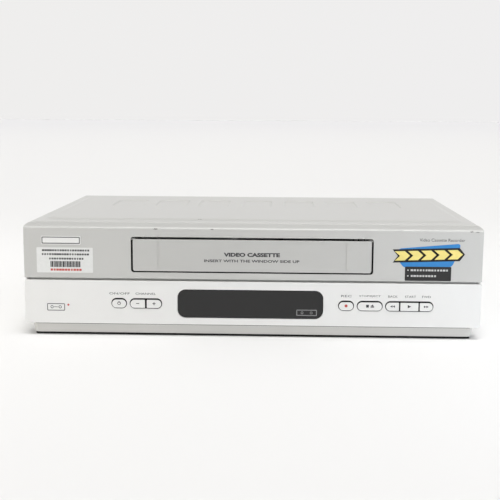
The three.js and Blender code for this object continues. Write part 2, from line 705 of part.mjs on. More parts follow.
const boardBosses = [boardInner + tray.boss, boardOuter - tray.boss].flatMap((x) =>
  [mains.boardFront + tray.boss, boardRear - tray.boss].map((y) => ({ x, y })),
);
tray.frontRailTop = level.panelBottom + tray.floor;

function chassisTray() {
  const ledgeTop = level.panelBottom;
  const ledgeBottom = ledgeTop - tray.ledge;
  const noseTop = ledgeTop - gap.seam;
  const outer = loft("z", [
    { at: level.plinthBottom, points: trayOutline(tray.draft) },
    { at: noseTop, points: trayOutline(0) },
  ]);
  const ledgeHalf = coverHalf;
  const ledge = block([-ledgeHalf, ledgeHalf], [coverFront, coverRear - cover.sheet], [ledgeBottom, ledgeTop]);
  const innerHalf = halfWidth - tray.sideInset - tray.draft - tray.wall;
  const innerSpan = [tray.frontSetback + tray.draft + tray.wall, trayRear - tray.wall - tray.draft];
  const cavity = block([-innerHalf, innerHalf], innerSpan, [trayFloorTop, ledgeTop + gap.overrun]);
  const railOuter = coverInner - gap.seam * 2;
  const rails = [-1, 1].map((side) => {
    const limits = [railOuter - tray.wall, railOuter].map((x) => side * x).sort((a, b) => a - b);
    const span = [coverFront + tray.rail.frontClear, trayRear - tray.wall];
    return block(limits, span, [ledgeBottom, ledgeTop + tray.rail.height]);
  });
  const rearWall = block([-railOuter, railOuter], [trayRear - tray.wall, trayRear], [ledgeBottom, tray.rearWallTop]);
  const frontRail = block(
    around(0, overall.width - 2 * tray.frontRail.sideMargin),
    around(frontBoard.front + board.thickness / 2, tray.frontRail.depth),
    [trayFloorTop - gap.overrun, tray.frontRailTop],
  );
  const ribs = Array.from({ length: tray.rib.count }, (_, i) => {
    const y = innerSpan[0] + tray.rib.margin + (i * (innerSpan[1] - innerSpan[0] - tray.rib.margin)) / tray.rib.count;
    const height = [trayFloorTop - gap.overrun, trayFloorTop + tray.rib.height / 2];
    return block([-innerHalf - gap.overrun, innerHalf + gap.overrun], around(y, tray.rib.width), height);
  });
  const posts = deckPosts.map(({ x, y }) =>
    rod("z", [x, y], tray.post.radius, [trayFloorTop - gap.overrun, deckBottom], round.bore),
  );
  const postBores = deckPosts.map(({ x, y }) =>
    rod("z", [x, y], tray.post.bore, [deckBottom - tray.post.boreDepth, deckBottom + gap.overrun], round.bore),
  );
  const bosses = boardBosses.flatMap(({ x, y }) => {
    const mirrored = [x, -x];
    return mirrored.map((px) =>
      block(around(px, tray.boss), around(y, tray.boss), [trayFloorTop - gap.overrun, mains.boardZ]),
    );
  });
  const footHoles = footPlaces.map(({ x, y }) =>
    rod("z", [x, y], foot.spigot + gap.fit, [level.plinthBottom - gap.overrun, trayFloorTop + gap.overrun], round.bore),
  );
  const vents = [-1, 1].flatMap((side) =>
    Array.from({ length: tray.vent.count }, (_, i) => {
      const x = side * (-inletX - (tray.vent.count / 2 - i) * tray.vent.pitch);
      const through = [level.plinthBottom - gap.overrun, trayFloorTop + tray.rib.height];
      return block(around(x, tray.vent.width), around(onMains(mains.transformer).y, tray.vent.length), through);
    }),
  );
  const screwHoles = screwPlaces.map(({ side, y }) => {
    const limits = [railOuter - tray.wall - gap.overrun, railOuter + gap.overrun];
    return rod("x", [y, screw.z], screw.shank + gap.fit, limits.map((x) => side * x).sort((a, b) => a - b), round.bore);
  });
  const shell = cut(join(outer, ledge), cavity);
  return cut(join(shell, rails, rearWall, frontRail, ribs, posts, bosses), postBores, footHoles, vents, screwHoles);
}

function rubberFoot() {
  const top = level.plinthBottom;
  return turned([
    [0, foot.recessDepth],
    [foot.recess, foot.recessDepth],
    [foot.recess, 0],
    [foot.radius, 0],
    [foot.radius, top],
    [foot.spigot, top],
    [foot.spigot, top + foot.spigotReach],
    [0, top + foot.spigotReach],
  ]);
}

const screwPlaces = [-1, 1].flatMap((side) => [screw.fromFront, coverRear - screw.fromRear].map((y) => ({ side, y })));

// The cover's folded section, from one bottom edge over the top to the other
function coverSection(inset) {
  const half = coverHalf - inset;
  const r = cover.bend - inset;
  return roundedOutline([-half, half], [coverBottom - (inset ? gap.overrun : 0), coverTop - inset], [0, 0, r, r]);
}

function fieldPlate(height, shrink) {
  const half = coverHalf - cover.field.sideMargin;
  const span = [coverFront + cover.field.frontMargin, coverRear - cover.field.rearMargin];
  const bottom = coverTop - cover.sheet / 2;
  return loft("z", [
    { at: bottom, points: roundedOutline(grown([-half, half], -shrink), grown(span, -shrink), cover.field.corner) },
    { at: coverTop, points: roundedOutline(grown([-half, half], -shrink), grown(span, -shrink), cover.field.corner) },
    {
      at: coverTop + height,
      points: roundedOutline(
        grown([-half, half], -shrink - cover.field.bevel),
        grown(span, -shrink - cover.field.bevel),
        cover.field.corner - cover.field.bevel,
      ),
    },
  ]);
}

// One long pressed dish of the row across the field, as the space above its face
function dishTool(x, top) {
  const { width, length, fromFront, depth, bevel, corner } = cover.dish;
  const across = around(x, width);
  const along = [fromFront, fromFront + length];
  return loft("z", [
    {
      at: top - depth,
      points: roundedOutline(grown(across, -bevel), grown(along, -bevel), corner - bevel, round.dish),
    },
    { at: top, points: roundedOutline(across, along, corner, round.dish) },
    { at: top + gap.overrun, points: roundedOutline(across, along, corner, round.dish) },
  ]);
}

function topCover() {
  const span = [coverFront, coverRear];
  const shell = cut(slab("y", coverSection(0), span), slab("y", coverSection(cover.sheet), grown(span, gap.overrun)));
  const raised = fieldPlate(cover.field.rise, 0);
  const hollow = fieldPlate(cover.field.rise, cover.sheet).translate([0, 0, -cover.sheet]);
  const dishes = Array.from({ length: cover.dish.count }, (_, i) => (i - (cover.dish.count - 1) / 2) * cover.dish.pitch);
  const fieldTop = coverTop + cover.field.rise;
  const backing = dishes.map((x) => {
    const across = around(x, cover.dish.width);
    const along = [cover.dish.fromFront, cover.dish.fromFront + cover.dish.length];
    const bottom = fieldTop - cover.sheet - cover.dish.depth;
    const outline = roundedOutline(across, along, cover.dish.corner, round.dish);
    return slab("z", outline, [bottom, fieldTop - cover.sheet / 2]);
  });
  const lip = block(
    around(0, 2 * (coverHalf - cover.lipMargin)),
    [coverRear - cover.sheet, coverRear],
    [coverTop - cover.lip, coverTop - cover.sheet / 2],
  );
  const vents = [-1, 1].flatMap((side) =>
    Array.from({ length: cover.vent.count }, (_, i) => {
      const y = cover.vent.start + i * cover.vent.pitch;
      const limits = [coverInner - gap.overrun, coverHalf + gap.overrun].map((x) => side * x).sort((a, b) => a - b);
      return block(limits, around(y, cover.vent.width), [cover.vent.bottom, cover.vent.bottom + cover.vent.height]);
    }),
  );
  const screwHoles = screwPlaces.map(({ side, y }) => {
    const limits = [coverInner - gap.overrun, coverHalf + gap.overrun].map((x) => side * x).sort((a, b) => a - b);
    return rod("x", [y, screw.z], screw.shank + gap.fit, limits, round.bore);
  });
  const pressed = join(cut(join(shell, raised), hollow), backing, lip);
  return cut(pressed, dishes.map((x) => dishTool(x, fieldTop)), vents, screwHoles);
}

function rearSheet() {
  const half = coverInner - rearPanel.sideInset / 2;
  const up = [coverBottom, coverTop - cover.sheet - gap.fit];
  const outline = roundedOutline([-half, half], up, [0, 0, cover.bend, cover.bend]);
  const plate = slab("y", outline, [rearPanelFront, rearFace]);
  const through = grown([rearPanelFront, rearFace], gap.overrun);
  const inletZ = boardTop + gap.fit + mains.inlet.height / 2;
  const inletHole = block(
    around(inletX, mains.inlet.noseWidth + 2 * gap.seam),
    through,
    around(inletZ, mains.inlet.noseHeight + 2 * gap.seam),
  );
  const socketHoles = aerialHeights.map((z) => rod("y", [tunerX, z], tuner.socket.radius + gap.seam, through));
  const scartHoles = [scart.lowerZ, scart.upperZ].map((z) =>
    block(around(scart.x, scart.mouthWidth + scart.slope), through, [z, z + scart.height]),
  );
  const phonoHoles = [-1, 1].map((side) =>
    rod("y", [phono.x + (side * phono.spacing) / 2, phono.z], phono.ring + gap.seam, through),
  );
  const vents = Array.from({ length: rearPanel.vent.count }, (_, i) => {
    const x = rearPanel.vent.x + (i - (rearPanel.vent.count - 1) / 2) * rearPanel.vent.pitch;
    return block(around(x, rearPanel.vent.width), through, around(rearPanel.vent.z, rearPanel.vent.height));
  });
  return cut(plate, inletHole, socketHoles, scartHoles, phonoHoles, vents);
}

// Outline of an external gear about the origin, with plain tapered teeth and some backlash
function gearOutline(module, teeth) {
  const pitch = (module * teeth) / 2;
  const step = (2 * Math.PI) / teeth;
  const tip = pitch + module * toothShape.addendum;
  const root = pitch - module * toothShape.dedendum;
  return Array.from({ length: teeth }, (_, i) => i * step).flatMap((middle) =>
    [
      [root, -toothShape.rootShare / 2],
      [tip, -toothShape.tipShare / 2],
      [tip, toothShape.tipShare / 2],
      [root, toothShape.rootShare / 2],
    ].map(([r, share]) => {
      const angle = middle + share * step;
      return new THREE.Vector2(r * Math.cos(angle), r * Math.sin(angle));
    }),
  );
}

// Centre of the long arc that a threading guide runs on, for the side given as -1 or 1
function guideArc(side) {
  const start = new THREE.Vector2(side * guide.startX, guide.startY);
  const end = new THREE.Vector2(side * guide.endX, guide.endY);
  const chord = end.clone().sub(start);
  const reach = Math.sqrt(guide.pathRadius ** 2 - chord.lengthSq() / 4);
  const inward = new THREE.Vector2(chord.y, -chord.x).normalize().multiplyScalar(-side * reach);
  const centre = start.clone().add(end).multiplyScalar(0.5).add(inward);
  const from = Math.atan2(start.y - centre.y, start.x - centre.x);
  const sweep = 2 * Math.asin(chord.length() / 2 / guide.pathRadius) * side;
  return { centre, start, from, sweep };
}

// A slot of even width along that arc, rounded past both ends
function guideSlot(side) {
  const { centre, from, sweep } = guideArc(side);
  const half = guide.slot / 2;
  const extra = (side * half) / guide.pathRadius;
  const steps = round.pill;
  const at = (r, i) => {
    const angle = from - extra + (i / steps) * (sweep + 2 * extra);
    return new THREE.Vector2(centre.x + r * Math.cos(angle), centre.y + r * Math.sin(angle));
  };
  const outer = Array.from({ length: steps + 1 }, (_, i) => at(guide.pathRadius + half, i));
  const inner = Array.from({ length: steps + 1 }, (_, i) => at(guide.pathRadius - half, steps - i));
  return slab("z", [...outer, ...inner], [deckBottom - gap.overrun, deck.top + gap.overrun]);
}

function deckPlate() {
  const across = [-deck.halfWidth, deck.halfWidth];
  const along = [deck.front, deck.rear];
  const sheet = slab("z", roundedOutline(across, along, deck.corner), [deckBottom, deck.top]);
  const rims = [deck.front, deck.rear - deck.sheet].map((y) =>
    block(grown(across, -2 * deck.corner), [y, y + deck.sheet], [deckBottom - deck.rim, deckBottom + deck.sheet / 2]),
  );
  const through = [deckBottom - gap.overrun, deck.top + gap.overrun];
  const stud = (x, y, radius, top) => rod("z", [x, y], radius, [deckBottom, top]);
  const reelStudTop = reelSpinZ + reel.rimLift + reel.rimThickness + reel.hubHeight + reel.spindleHeight / 2;
  const studs = [
    stud(-cassette.hubSpacing / 2, hubY, reel.studRadius, reelStudTop),
    stud(cassette.hubSpacing / 2, hubY, reel.studRadius, reelStudTop),
    stud(loading.x, loading.y, loading.stud, deck.top + gap.fit + loading.thickness + loading.hub.height),
    stud(pinch.pivotX, pinch.pivotY, pinch.stud, deck.top + gap.fit + pinch.hubHeight),
    stud(capstan.x, capstan.y, capstan.collar.radius, deck.top + capstan.collar.height),
  ];
  const holes = [
    rod("z", [capstan.x, capstan.y], capstan.shaft + gap.fit, grown([deckBottom, capstan.top], gap.overrun)),
    rod("z", [0, idler.y], idler.shaft + gap.fit, through),
    rod("z", [loading.x, loading.y - loadingDistance], loading.shaft + gap.fit, through),
    rod("z", [0, drum.y], drum.baseRadius / 2, through),
    ...deckPosts.map(({ x, y }) => rod("z", [x, y], tray.post.bore + gap.fit, through, round.bore)),
  ];
  return cut(join(sheet, rims, studs), holes, guideSlot(-1), guideSlot(1));
}

const loadingDistance = (loading.module * (loading.gearTeeth + loading.pinionTeeth)) / 2;

// Upright side frame of the cassette lift, drawn for the right hand side
function liftBracket() {
  const rear = deck.front + lift.length;
  const x = [lift.sideX, lift.sideX + lift.sheet];
  const bottom = deck.top;
  const towerRear = rackGear.pinionY + 2 * pinionRadius;
  const towerFront = rackGear.pinionY - 2 * pinionRadius;
  const side = [
    [deck.front, bottom],
    [rear, bottom],
    [rear, lift.window.bottom + 2 * lift.sheet],
    [rear - lift.window.rearMargin / 2, lift.window.top + 2 * lift.sheet],
    [towerRear, lift.window.top + 2 * lift.sheet],
    [towerRear - pinionRadius, lift.top],
    [towerFront + pinionRadius, lift.top],
    [towerFront, lift.window.top + 2 * lift.sheet],
    [deck.front, lift.window.top + 2 * lift.sheet],
  ].map(([y, z]) => new THREE.Vector2(y, z));
  const plate = slab("x", side, x);
  const windowSpan = [deck.front + lift.window.frontMargin, rear - lift.window.rearMargin];
  const opening = block(grown(x, gap.overrun), windowSpan, [lift.window.bottom, lift.window.top]);
  const foot = block([x[0], x[0] + lift.foot], [deck.front, rear], [bottom, bottom + lift.footThickness]);
  const shelf = block(
    [x[0], x[0] + lift.shelf.width],
    [deck.front, rear],
    [lift.shelf.z, lift.shelf.z + lift.shelf.thickness],
  );
  const bearing = rod("x", [rackGear.pinionY, shaftZ], rackGear.shaftRadius + gap.fit, grown(x, gap.overrun));
  return cut(join(plate, foot, shelf), opening, bearing);
}

// Rack plate that carries one side of the holder: teeth along its top edge, two upright slots for the pins
function liftSlider() {
  const bottom = lift.shelf.z + lift.shelf.thickness + gap.fit;
  const pitch = Math.PI * rackGear.module;
  const module = rackGear.module;
  const start = rackGear.pinionY - lift.travelIn - slider.tailMargin;
  const end = rackGear.pinionY + slider.tailMargin;
  const teeth = Math.floor((end - start) / pitch);
  const tip = rackPitchZ + module * toothShape.addendum;
  const root = rackPitchZ - module * toothShape.dedendum;

  // A tooth gap of the rack lies under the pinion's lowest tooth at rest
  const firstTooth = rackGear.pinionY - (teeth - 1.5) * pitch + Math.floor(slider.tailMargin / pitch) * pitch;
  const edge = Array.from({ length: teeth }, (_, i) => firstTooth + i * pitch)
    .filter((y) => y + pitch / 2 < end)
    .flatMap((y) =>
      [
        [-toothShape.rootShare / 2, root],
        [-toothShape.tipShare / 2, tip],
        [toothShape.tipShare / 2, tip],
        [toothShape.rootShare / 2, root],
      ].map(([share, z]) => new THREE.Vector2(y + share * pitch, z)),
    );
  const rackBottom = root - slider.rootDrop;
  const rack = [
    new THREE.Vector2(start, root),
    ...edge,
    new THREE.Vector2(end, root),
    new THREE.Vector2(end, rackBottom),
    new THREE.Vector2(start, rackBottom),
  ];
  const plate = block([sliderX, sliderX + slider.thickness], [start, holder.rear], [bottom, root - slider.rootDrop / 2]);
  const pins = [
    [holder.pin.frontY, holder.pin.frontZ],
    [holder.pin.rearY, holder.pin.rearZ],
  ];
  const width = 2 * (holder.pin.radius + holder.pin.slotGap);
  const slots = pins.map(([y, z]) => {
    const up = [z - lift.travelDown - width / 2, z + width / 2];
    const outline = roundedOutline(around(y, width), up, (width / 2) * 0.98, round.corner);
    return slab("x", outline, grown([sliderX, sliderX + slider.rackWidth], gap.overrun));
  });
  return cut(join(plate, slab("x", rack, [sliderX, sliderX + slider.rackWidth])), slots);
}

// Cross shaft with a pinion at each end, which keeps both racks together
function liftShaft() {
  const reach = sliderX + slider.rackWidth + gap.overrun;
  const shaft = rod("x", [0, 0], rackGear.shaftRadius, [-reach, reach]);
  const pinions = [-1, 1].map((side) => {
    const limits = [sliderX, sliderX + rackGear.width].map((x) => side * x).sort((a, b) => a - b);
    return slab("x", gearOutline(rackGear.module, rackGear.pinionTeeth), limits);
  });
  return join(shaft, pinions);
}

// Sheet basket that carries the cassette: two floor strips, cheeks, a roof and four guide pins
function cassetteHolder() {
  const outer = holderHalf + holder.sheet;
  const floor = [holder.floorTop - holder.sheet, holder.floorTop];
  const tailFront = holder.rear - holder.tail;
  const sides = [-1, 1].flatMap((side) => {
    const limits = (a, b) => [side * a, side * b].sort((p, q) => p - q);
    const pins = [
      [holder.pin.frontY, holder.pin.frontZ],
      [holder.pin.rearY, holder.pin.rearZ],
    ];
    return [
      block(limits(outer - holder.stripWidth, outer), [holder.front, tailFront], floor),
      block(limits(outer - holder.tailWidth, outer), [tailFront - gap.overrun, holder.rear], floor),
      block(limits(holderHalf, outer), [holder.cheekFront, holder.rear], [floor[0], holderRoof + holder.sheet]),
      block(
        limits(outer - holder.tailWidth, outer),
        [holder.rear - holder.sheet, holder.rear],
        [floor[0], holder.floorTop + holder.stop.height],
      ),
      ...pins.map(([y, z]) =>
        rod("x", [y, z], holder.pin.radius, limits(holderHalf, sliderX + slider.thickness + gap.overrun)),
      ),
    ];
  });
  const roof = block([-outer, outer], [holder.cheekFront, holder.rear], [holderRoof, holderRoof + holder.sheet]);
  const windows = [-1, 1].map((side) =>
    slab(
      "z",
      roundedOutline(
        around(side * holder.roofWindow.place, holder.roofWindow.width),
        around((holder.cheekFront + holder.rear) / 2, holder.roofWindow.depth),
        holder.roofWindow.corner,
      ),
      grown([holderRoof, holderRoof + holder.sheet], gap.overrun),
    ),
  );
  return join(cut(roof, windows), sides);
}

// Reel table: friction rim, hub and a splined spindle with a pointed top, hollow over its stud
function reelTable() {
  const rimTop = reel.rimLift + reel.rimThickness;
  const hubTop = rimTop + reel.hubHeight;
  const shoulder = hubTop + reel.spindleHeight - reel.cone.height;
  const top = hubTop + reel.spindleHeight;
  const boreTop = hubTop + reel.spindleHeight / 2 + gap.fit;
  const body = turned([
    [0, boreTop],
    [reel.bore, boreTop],
    [reel.bore, 0],
    [reel.hub, 0],
    [reel.hub, reel.rimLift],
    [reel.rim, reel.rimLift],
    [reel.rim, rimTop],
    [reel.hub, rimTop],
    [reel.hub, hubTop],
    [reel.spindle, hubTop],
    [reel.spindle, shoulder],
    [reel.cone.radius, top],
    [0, top],
  ], round.wheel);
  const splines = Array.from({ length: reel.spline.count }, (_, i) => {
    const fin = block([0, reel.spindle + reel.spline.reach], around(0, reel.spline.width), [hubTop - gap.overrun, shoulder]);
    return cut(fin, rod("z", [0, 0], reel.spindle / 2, [0, top], round.bore)).rotate([0, 0, (i * 360) / reel.spline.count]);
  });
  return join(body, splines);
}

// Drum pieces are drawn upright about their own axis and leaned over by their group
function drumBase() {
  const height = drum.baseHeight + drum.baseRadius * Math.tan(radians(drum.tilt)) * 2;
  const body = rod("z", [0, 0], drum.baseRadius, [0, height], round.large);
  const lean = new THREE.BoxGeometry(height * 10, height * 10, height * 2).translate(0, 0, height);
  lean.rotateY(radians(drum.tilt)).translate(0, 0, drumSeat - gap.fit);
  return cut(body, toSolid(lean), rod("z", [0, 0], drum.baseRadius / 2, [-gap.overrun, height]));
}

const drumSeat = drum.baseHeight + drum.baseRadius * Math.tan(radians(drum.tilt));

function drumLower() {
  const radius = drum.radius + drum.ledge;
  const spindleTop = drum.lowerHeight + drum.gap + drum.upperHeight;
  const wide = rod("z", [0, 0], radius, [0, drum.lowerHeight], round.large);
  const above = new THREE.BoxGeometry(radius * 4, radius * 4, drum.lowerHeight * 2);
  above.translate(0, 0, drum.lowerHeight).rotateY(radians(-drum.tilt)).translate(0, 0, drum.ledgeLevel - drumSeat);
  const ring = cut(
    rod("z", [0, 0], radius + gap.overrun, [-gap.overrun, spindleTop], round.large),
    rod("z", [0, 0], drum.radius, [-2 * gap.overrun, spindleTop + gap.overrun], round.large),
  );
  return join(cut(wide, common(ring, toSolid(above))), rod("z", [0, 0], drum.spindle, [0, spindleTop]));
}

function drumUpper() {
  const top = drum.upperHeight;
  const wellFloor = top - drum.well.depth;
  const body = turned(
    [
      [drum.spindle + gap.fit, 0],
      [drum.radius, 0],
      [drum.radius, top - drum.chamfer],
      [drum.radius - drum.chamfer, top],
      [drum.well.radius, top],
      [drum.well.radius, wellFloor],
      [drum.disc.radius, wellFloor],
      [drum.disc.radius, wellFloor + drum.disc.height],
      [drum.hub.radius, wellFloor + drum.disc.height],
      [drum.hub.radius, wellFloor + drum.disc.height + drum.hub.height],
      [drum.spindle + gap.fit, wellFloor + drum.disc.height + drum.hub.height],
      [drum.spindle + gap.fit, 0],
    ],
    round.large,
  );
  const heads = Array.from({ length: drum.head.count }, (_, i) => {
    const notch = block(
      [drum.radius - drum.head.depth, drum.radius + gap.overrun],
      around(0, drum.head.width),
      [-gap.overrun, drum.head.height],
    );
    return notch.rotate([0, 0, (i * 360) / drum.head.count + 360 / (2 * round.large)]);
  });
  return cut(body, heads);
}

function capstanAssembly() {
  const wheelTop = capstan.flywheelBottom + capstan.flywheelHeight;
  const pulleyTop = wheelTop + capstan.pulleyHeight;
  const grooveSpan = around((wheelTop + pulleyTop) / 2, belt.height + 2 * gap.fit);
  return turned(
    [
      [0, capstan.flywheelBottom - gap.overrun],
      [capstan.shaft, capstan.flywheelBottom - gap.overrun],
      [capstan.shaft, capstan.flywheelBottom],
      [capstan.flywheel, capstan.flywheelBottom],
      [capstan.flywheel, wheelTop],
      [capstan.pulley + belt.groove, wheelTop],
      [capstan.pulley + belt.groove, grooveSpan[0]],
      [capstan.pulley, grooveSpan[0]],
      [capstan.pulley, grooveSpan[1]],
      [capstan.pulley + belt.groove, grooveSpan[1]],
      [capstan.pulley + belt.groove, pulleyTop],
      [capstan.shaft, pulleyTop],
      [capstan.shaft, capstan.top],
      [0, capstan.top],
    ],
    round.wheel,
  );
}

const beltZ = capstan.flywheelBottom + capstan.flywheelHeight + capstan.pulleyHeight / 2;

// Stator under the flywheel: a round board with a ring of flat coils
function capstanStator() {
  const disc = rod("z", [0, 0], motor.radius, [0, motor.thickness], round.wheel);
  const coils = Array.from({ length: motor.coilCount }, (_, i) => {
    const angle = (i / motor.coilCount) * 2 * Math.PI;
    const centre = [motor.coilPlace * Math.cos(angle), motor.coilPlace * Math.sin(angle)];
    return rod("z", centre, motor.coilRadius, [motor.thickness / 2, motor.thickness + motor.coilHeight], round.bore);
  });
  return cut(join(disc, coils), rod("z", [0, 0], capstan.shaft * 2, grown([0, motor.bottom], gap.overrun)));
}

// Outline round two pulleys at a distance off their grooves
function beltOutline(offset) {
  const a = { x: capstan.x, y: capstan.y, r: capstan.pulley + gap.fit + offset };
  const b = { x: 0, y: idler.y, r: idler.pulley + gap.fit + offset };
  const distance = Math.hypot(b.x - a.x, b.y - a.y);
  const heading = Math.atan2(b.y - a.y, b.x - a.x);
  const lean = Math.acos((a.r - b.r) / distance);
  const steps = round.turned;
  const arc = ({ x, y, r }, from, to) =>
    Array.from({ length: steps + 1 }, (_, i) => {
      const angle = from + (i / steps) * (to - from);
      return new THREE.Vector2(x + r * Math.cos(angle), y + r * Math.sin(angle));
    });
  return [
    ...arc(a, heading + lean, heading - lean + 2 * Math.PI),
    ...arc(b, heading - lean, heading + lean),
  ];
}

function reelBelt() {
  const span = around(beltZ, belt.height);
  return cut(slab("z", beltOutline(belt.thickness), span), slab("z", beltOutline(0), grown(span, gap.overrun)));
}

function idlerPulley() {
  const half = capstan.pulleyHeight / 2;
  const groove = belt.height / 2 + gap.fit;
  const hubBottom = deck.top + idler.arm + 2 * gap.fit;
  return turned([
    [0, beltZ - half],
    [idler.pulley + belt.groove, beltZ - half],
    [idler.pulley + belt.groove, beltZ - groove],
    [idler.pulley, beltZ - groove],
    [idler.pulley, beltZ + groove],
    [idler.pulley + belt.groove, beltZ + groove],
    [idler.pulley + belt.groove, beltZ + half],
    [idler.shaft, beltZ + half],
    [idler.shaft, hubBottom],
    [idler.hub, hubBottom],
    [idler.hub, hubBottom + idler.hubHeight],
    [0, hubBottom + idler.hubHeight],
  ]);
}

const idlerReach = idler.hub + idler.wheel + gap.fit;

function idlerArm() {
  const across = around(0, idler.armWidth);
  const along = [-idler.armWidth / 2, idlerReach + idler.armWidth / 2];
  const plate = slab("z", roundedOutline(across, along, idler.armWidth / 2 - gap.fit), [0, idler.arm]);
  const stud = rod("z", [0, idlerReach], idler.wheelStud, [0, idler.arm + gap.fit + idler.wheelThickness]);
  return cut(join(plate, stud), rod("z", [0, 0], idler.shaft + gap.fit, grown([0, idler.arm], gap.overrun)));
}

function idlerWheel() {
  const web = idler.wheelThickness / 3;
  const bore = idler.wheelStud + gap.fit;
  return turned([
    [bore, 0],
    [idler.wheel, 0],
    [idler.wheel, idler.wheelThickness],
    [idler.wheel * 0.82, idler.wheelThickness],
    [idler.wheel * 0.78, idler.wheelThickness - web],
    [idler.wheel * 0.3, idler.wheelThickness - web],
    [idler.wheel * 0.28, idler.wheelThickness],
    [bore, idler.wheelThickness],
    [bore, 0],
  ], round.wheel);
}

// Threading guide: a shoe above and below the deck joined through the slot, a roller post and a slanted post
function threadingGuide(side) {
  const { from } = guideArc(side);
  const lift0 = deck.top + gap.fit;
  const under = deckBottom - gap.fit;
  const shoe = slab(
    "z",
    roundedOutline(around(0, guide.shoeWidth), around(0, guide.shoeLength), guide.shoeWidth / 4),
    [lift0, lift0 + guide.shoeThickness],
  );
  const keeper = block(
    around(0, guide.shoeWidth),
    around(0, guide.shoeWidth),
    [under - guide.shoeThickness, under],
  );
  const neck = rod("z", [0, 0], guide.neck, [under - gap.overrun, lift0 + gap.overrun]);
  const { radius, flange, bottom, top } = guide.roller;
  const lipHeight = radius / 2;
  const roller = turned(
    [
      [0, lift0],
      [radius / 2, lift0],
      [radius / 2, bottom - lipHeight],
      [flange, bottom - lipHeight],
      [flange, bottom],
      [radius, bottom],
      [radius, top],
      [flange, top],
      [flange, top + lipHeight],
      [0, top + lipHeight],
    ],
    round.turned,
  );
  const slanted = new THREE.CylinderGeometry(guide.slant.radius, guide.slant.radius, guide.slant.height, round.bore);
  slanted.rotateX(Math.PI / 2).translate(0, 0, guide.slant.height / 2 + lift0 + guide.shoeThickness / 2);
  slanted.translate(0, guide.slant.offset, 0);
  const lean = new THREE.Matrix4().makeTranslation(0, guide.slant.offset, lift0);
  lean.multiply(new THREE.Matrix4().makeRotationY(side * radians(guide.slant.lean)));
  lean.multiply(new THREE.Matrix4().makeTranslation(0, -guide.slant.offset, -lift0));
  slanted.applyMatrix4(lean);
  const heading = THREE.MathUtils.radToDeg(from) + (side > 0 ? 0 : 180);
  return join(shoe, keeper, neck, roller, toSolid(slanted)).rotate([0, 0, heading]);
}

function loadingGear() {
  const gear = slab("z", gearOutline(loading.module, loading.gearTeeth), [0, loading.thickness]);
  const hub = rod("z", [0, 0], loading.hub.radius, [0, loading.thickness + loading.hub.height]);
  const { place: r, width, sweep } = loading.slot;
  const slots = [0, 1, 2].map((turn) => {
    const arc = new THREE.Shape();
    arc.absarc(0, 0, r + width / 2, 0, radians(sweep), false);
    arc.absarc(0, 0, r - width / 2, radians(sweep), 0, true);
    return slab("z", arc, grown([0, loading.thickness], gap.overrun)).rotate([0, 0, turn * 120]);
  });
  const bore = rod("z", [0, 0], loading.bore, [-gap.overrun, loading.thickness + loading.hub.height + gap.overrun]);
  return cut(join(gear, hub), slots, bore);
}

// Pinion on the loading motor's shaft, turned half a tooth so that it meshes
function loadingPinion() {
  const pinion = slab("z", gearOutline(loading.module, loading.pinionTeeth), [0, loading.thickness]);
  const phase = 90 + 180 / loading.pinionTeeth;
  const motorTop = loading.motor.bottom + loading.motor.height;
  const shaftBottom = motorTop - loading.motor.height / 3 - (deck.top + gap.fit);
  return join(pinion.rotate([0, 0, phase]), rod("z", [0, 0], loading.shaft, [shaftBottom, loading.thickness]));
}

function loadingMotor() {
  const { radius, height } = loading.motor;
  const rim = radius / 12;
  const bore = loading.shaft + gap.fit;
  return turned([
    [0, 0],
    [radius - rim, 0],
    [radius, rim],
    [radius, height - rim],
    [radius - rim, height],
    [radius / 3, height],
    [radius / 3, height + rim],
    [bore, height + rim],
    [bore, height / 2],
    [0, height / 2],
  ]);
}

function pinchArm() {
  const dx = pinch.rollerX - pinch.pivotX;
  const dy = pinch.rollerY - pinch.pivotY;
  const length = Math.hypot(dx, dy);
  const armTop = pinch.roller.bottom - gap.fit - gap.overrun;
  const hub = rod("z", [0, 0], pinch.hub, [0, pinch.hubHeight]);
  const web = slab(
    "z",
    roundedOutline(
      [-pinch.armWidth / 2, length + pinch.armWidth / 2],
      around(0, pinch.armWidth),
      pinch.armWidth / 2 - gap.fit,
    ),
    [pinch.hubHeight - pinch.arm, pinch.hubHeight],
  );
  const axleTop = pinch.roller.bottom + pinch.roller.height - (deck.top + gap.fit);
  const collar = rod("z", [length, 0], pinch.armWidth / 2 - gap.fit, [
    pinch.hubHeight - pinch.arm,
    armTop - (deck.top + gap.fit) + gap.overrun,
  ]);
  const axle = rod("z", [length, 0], pinch.axle, [pinch.hubHeight - pinch.arm, axleTop]);
  const bore = rod("z", [0, 0], pinch.stud + gap.fit, grown([0, pinch.hubHeight], gap.overrun));
  const heading = THREE.MathUtils.radToDeg(Math.atan2(dy, dx));
  return cut(join(hub, web, collar, axle), bore).rotate([0, 0, heading]);
}

function pinchRoller() {
  const { radius, height, bore, core, coreReach } = pinch.roller;
  return turned([
    [0, height + gap.fit],
    [bore, height + gap.fit],
    [bore, 0],
    [radius, 0],
    [radius, height],
    [core, height],
    [core, height + coreReach],
    [0, height + coreReach],
  ]);
}

function eraseHeadPost() {
  const [width, depth, height] = eraseHead.block;
  const base = rod("z", [0, 0], eraseHead.base, [0, eraseHead.footHeight]);
  const post = rod("z", [0, 0], eraseHead.post, [0, eraseHead.blockBottom - deck.top + height]);
  const head = block(around(0, width), around(0, depth), [
    eraseHead.blockBottom - deck.top,
    eraseHead.blockBottom - deck.top + height,
  ]);
  return join(base, post, head);
}

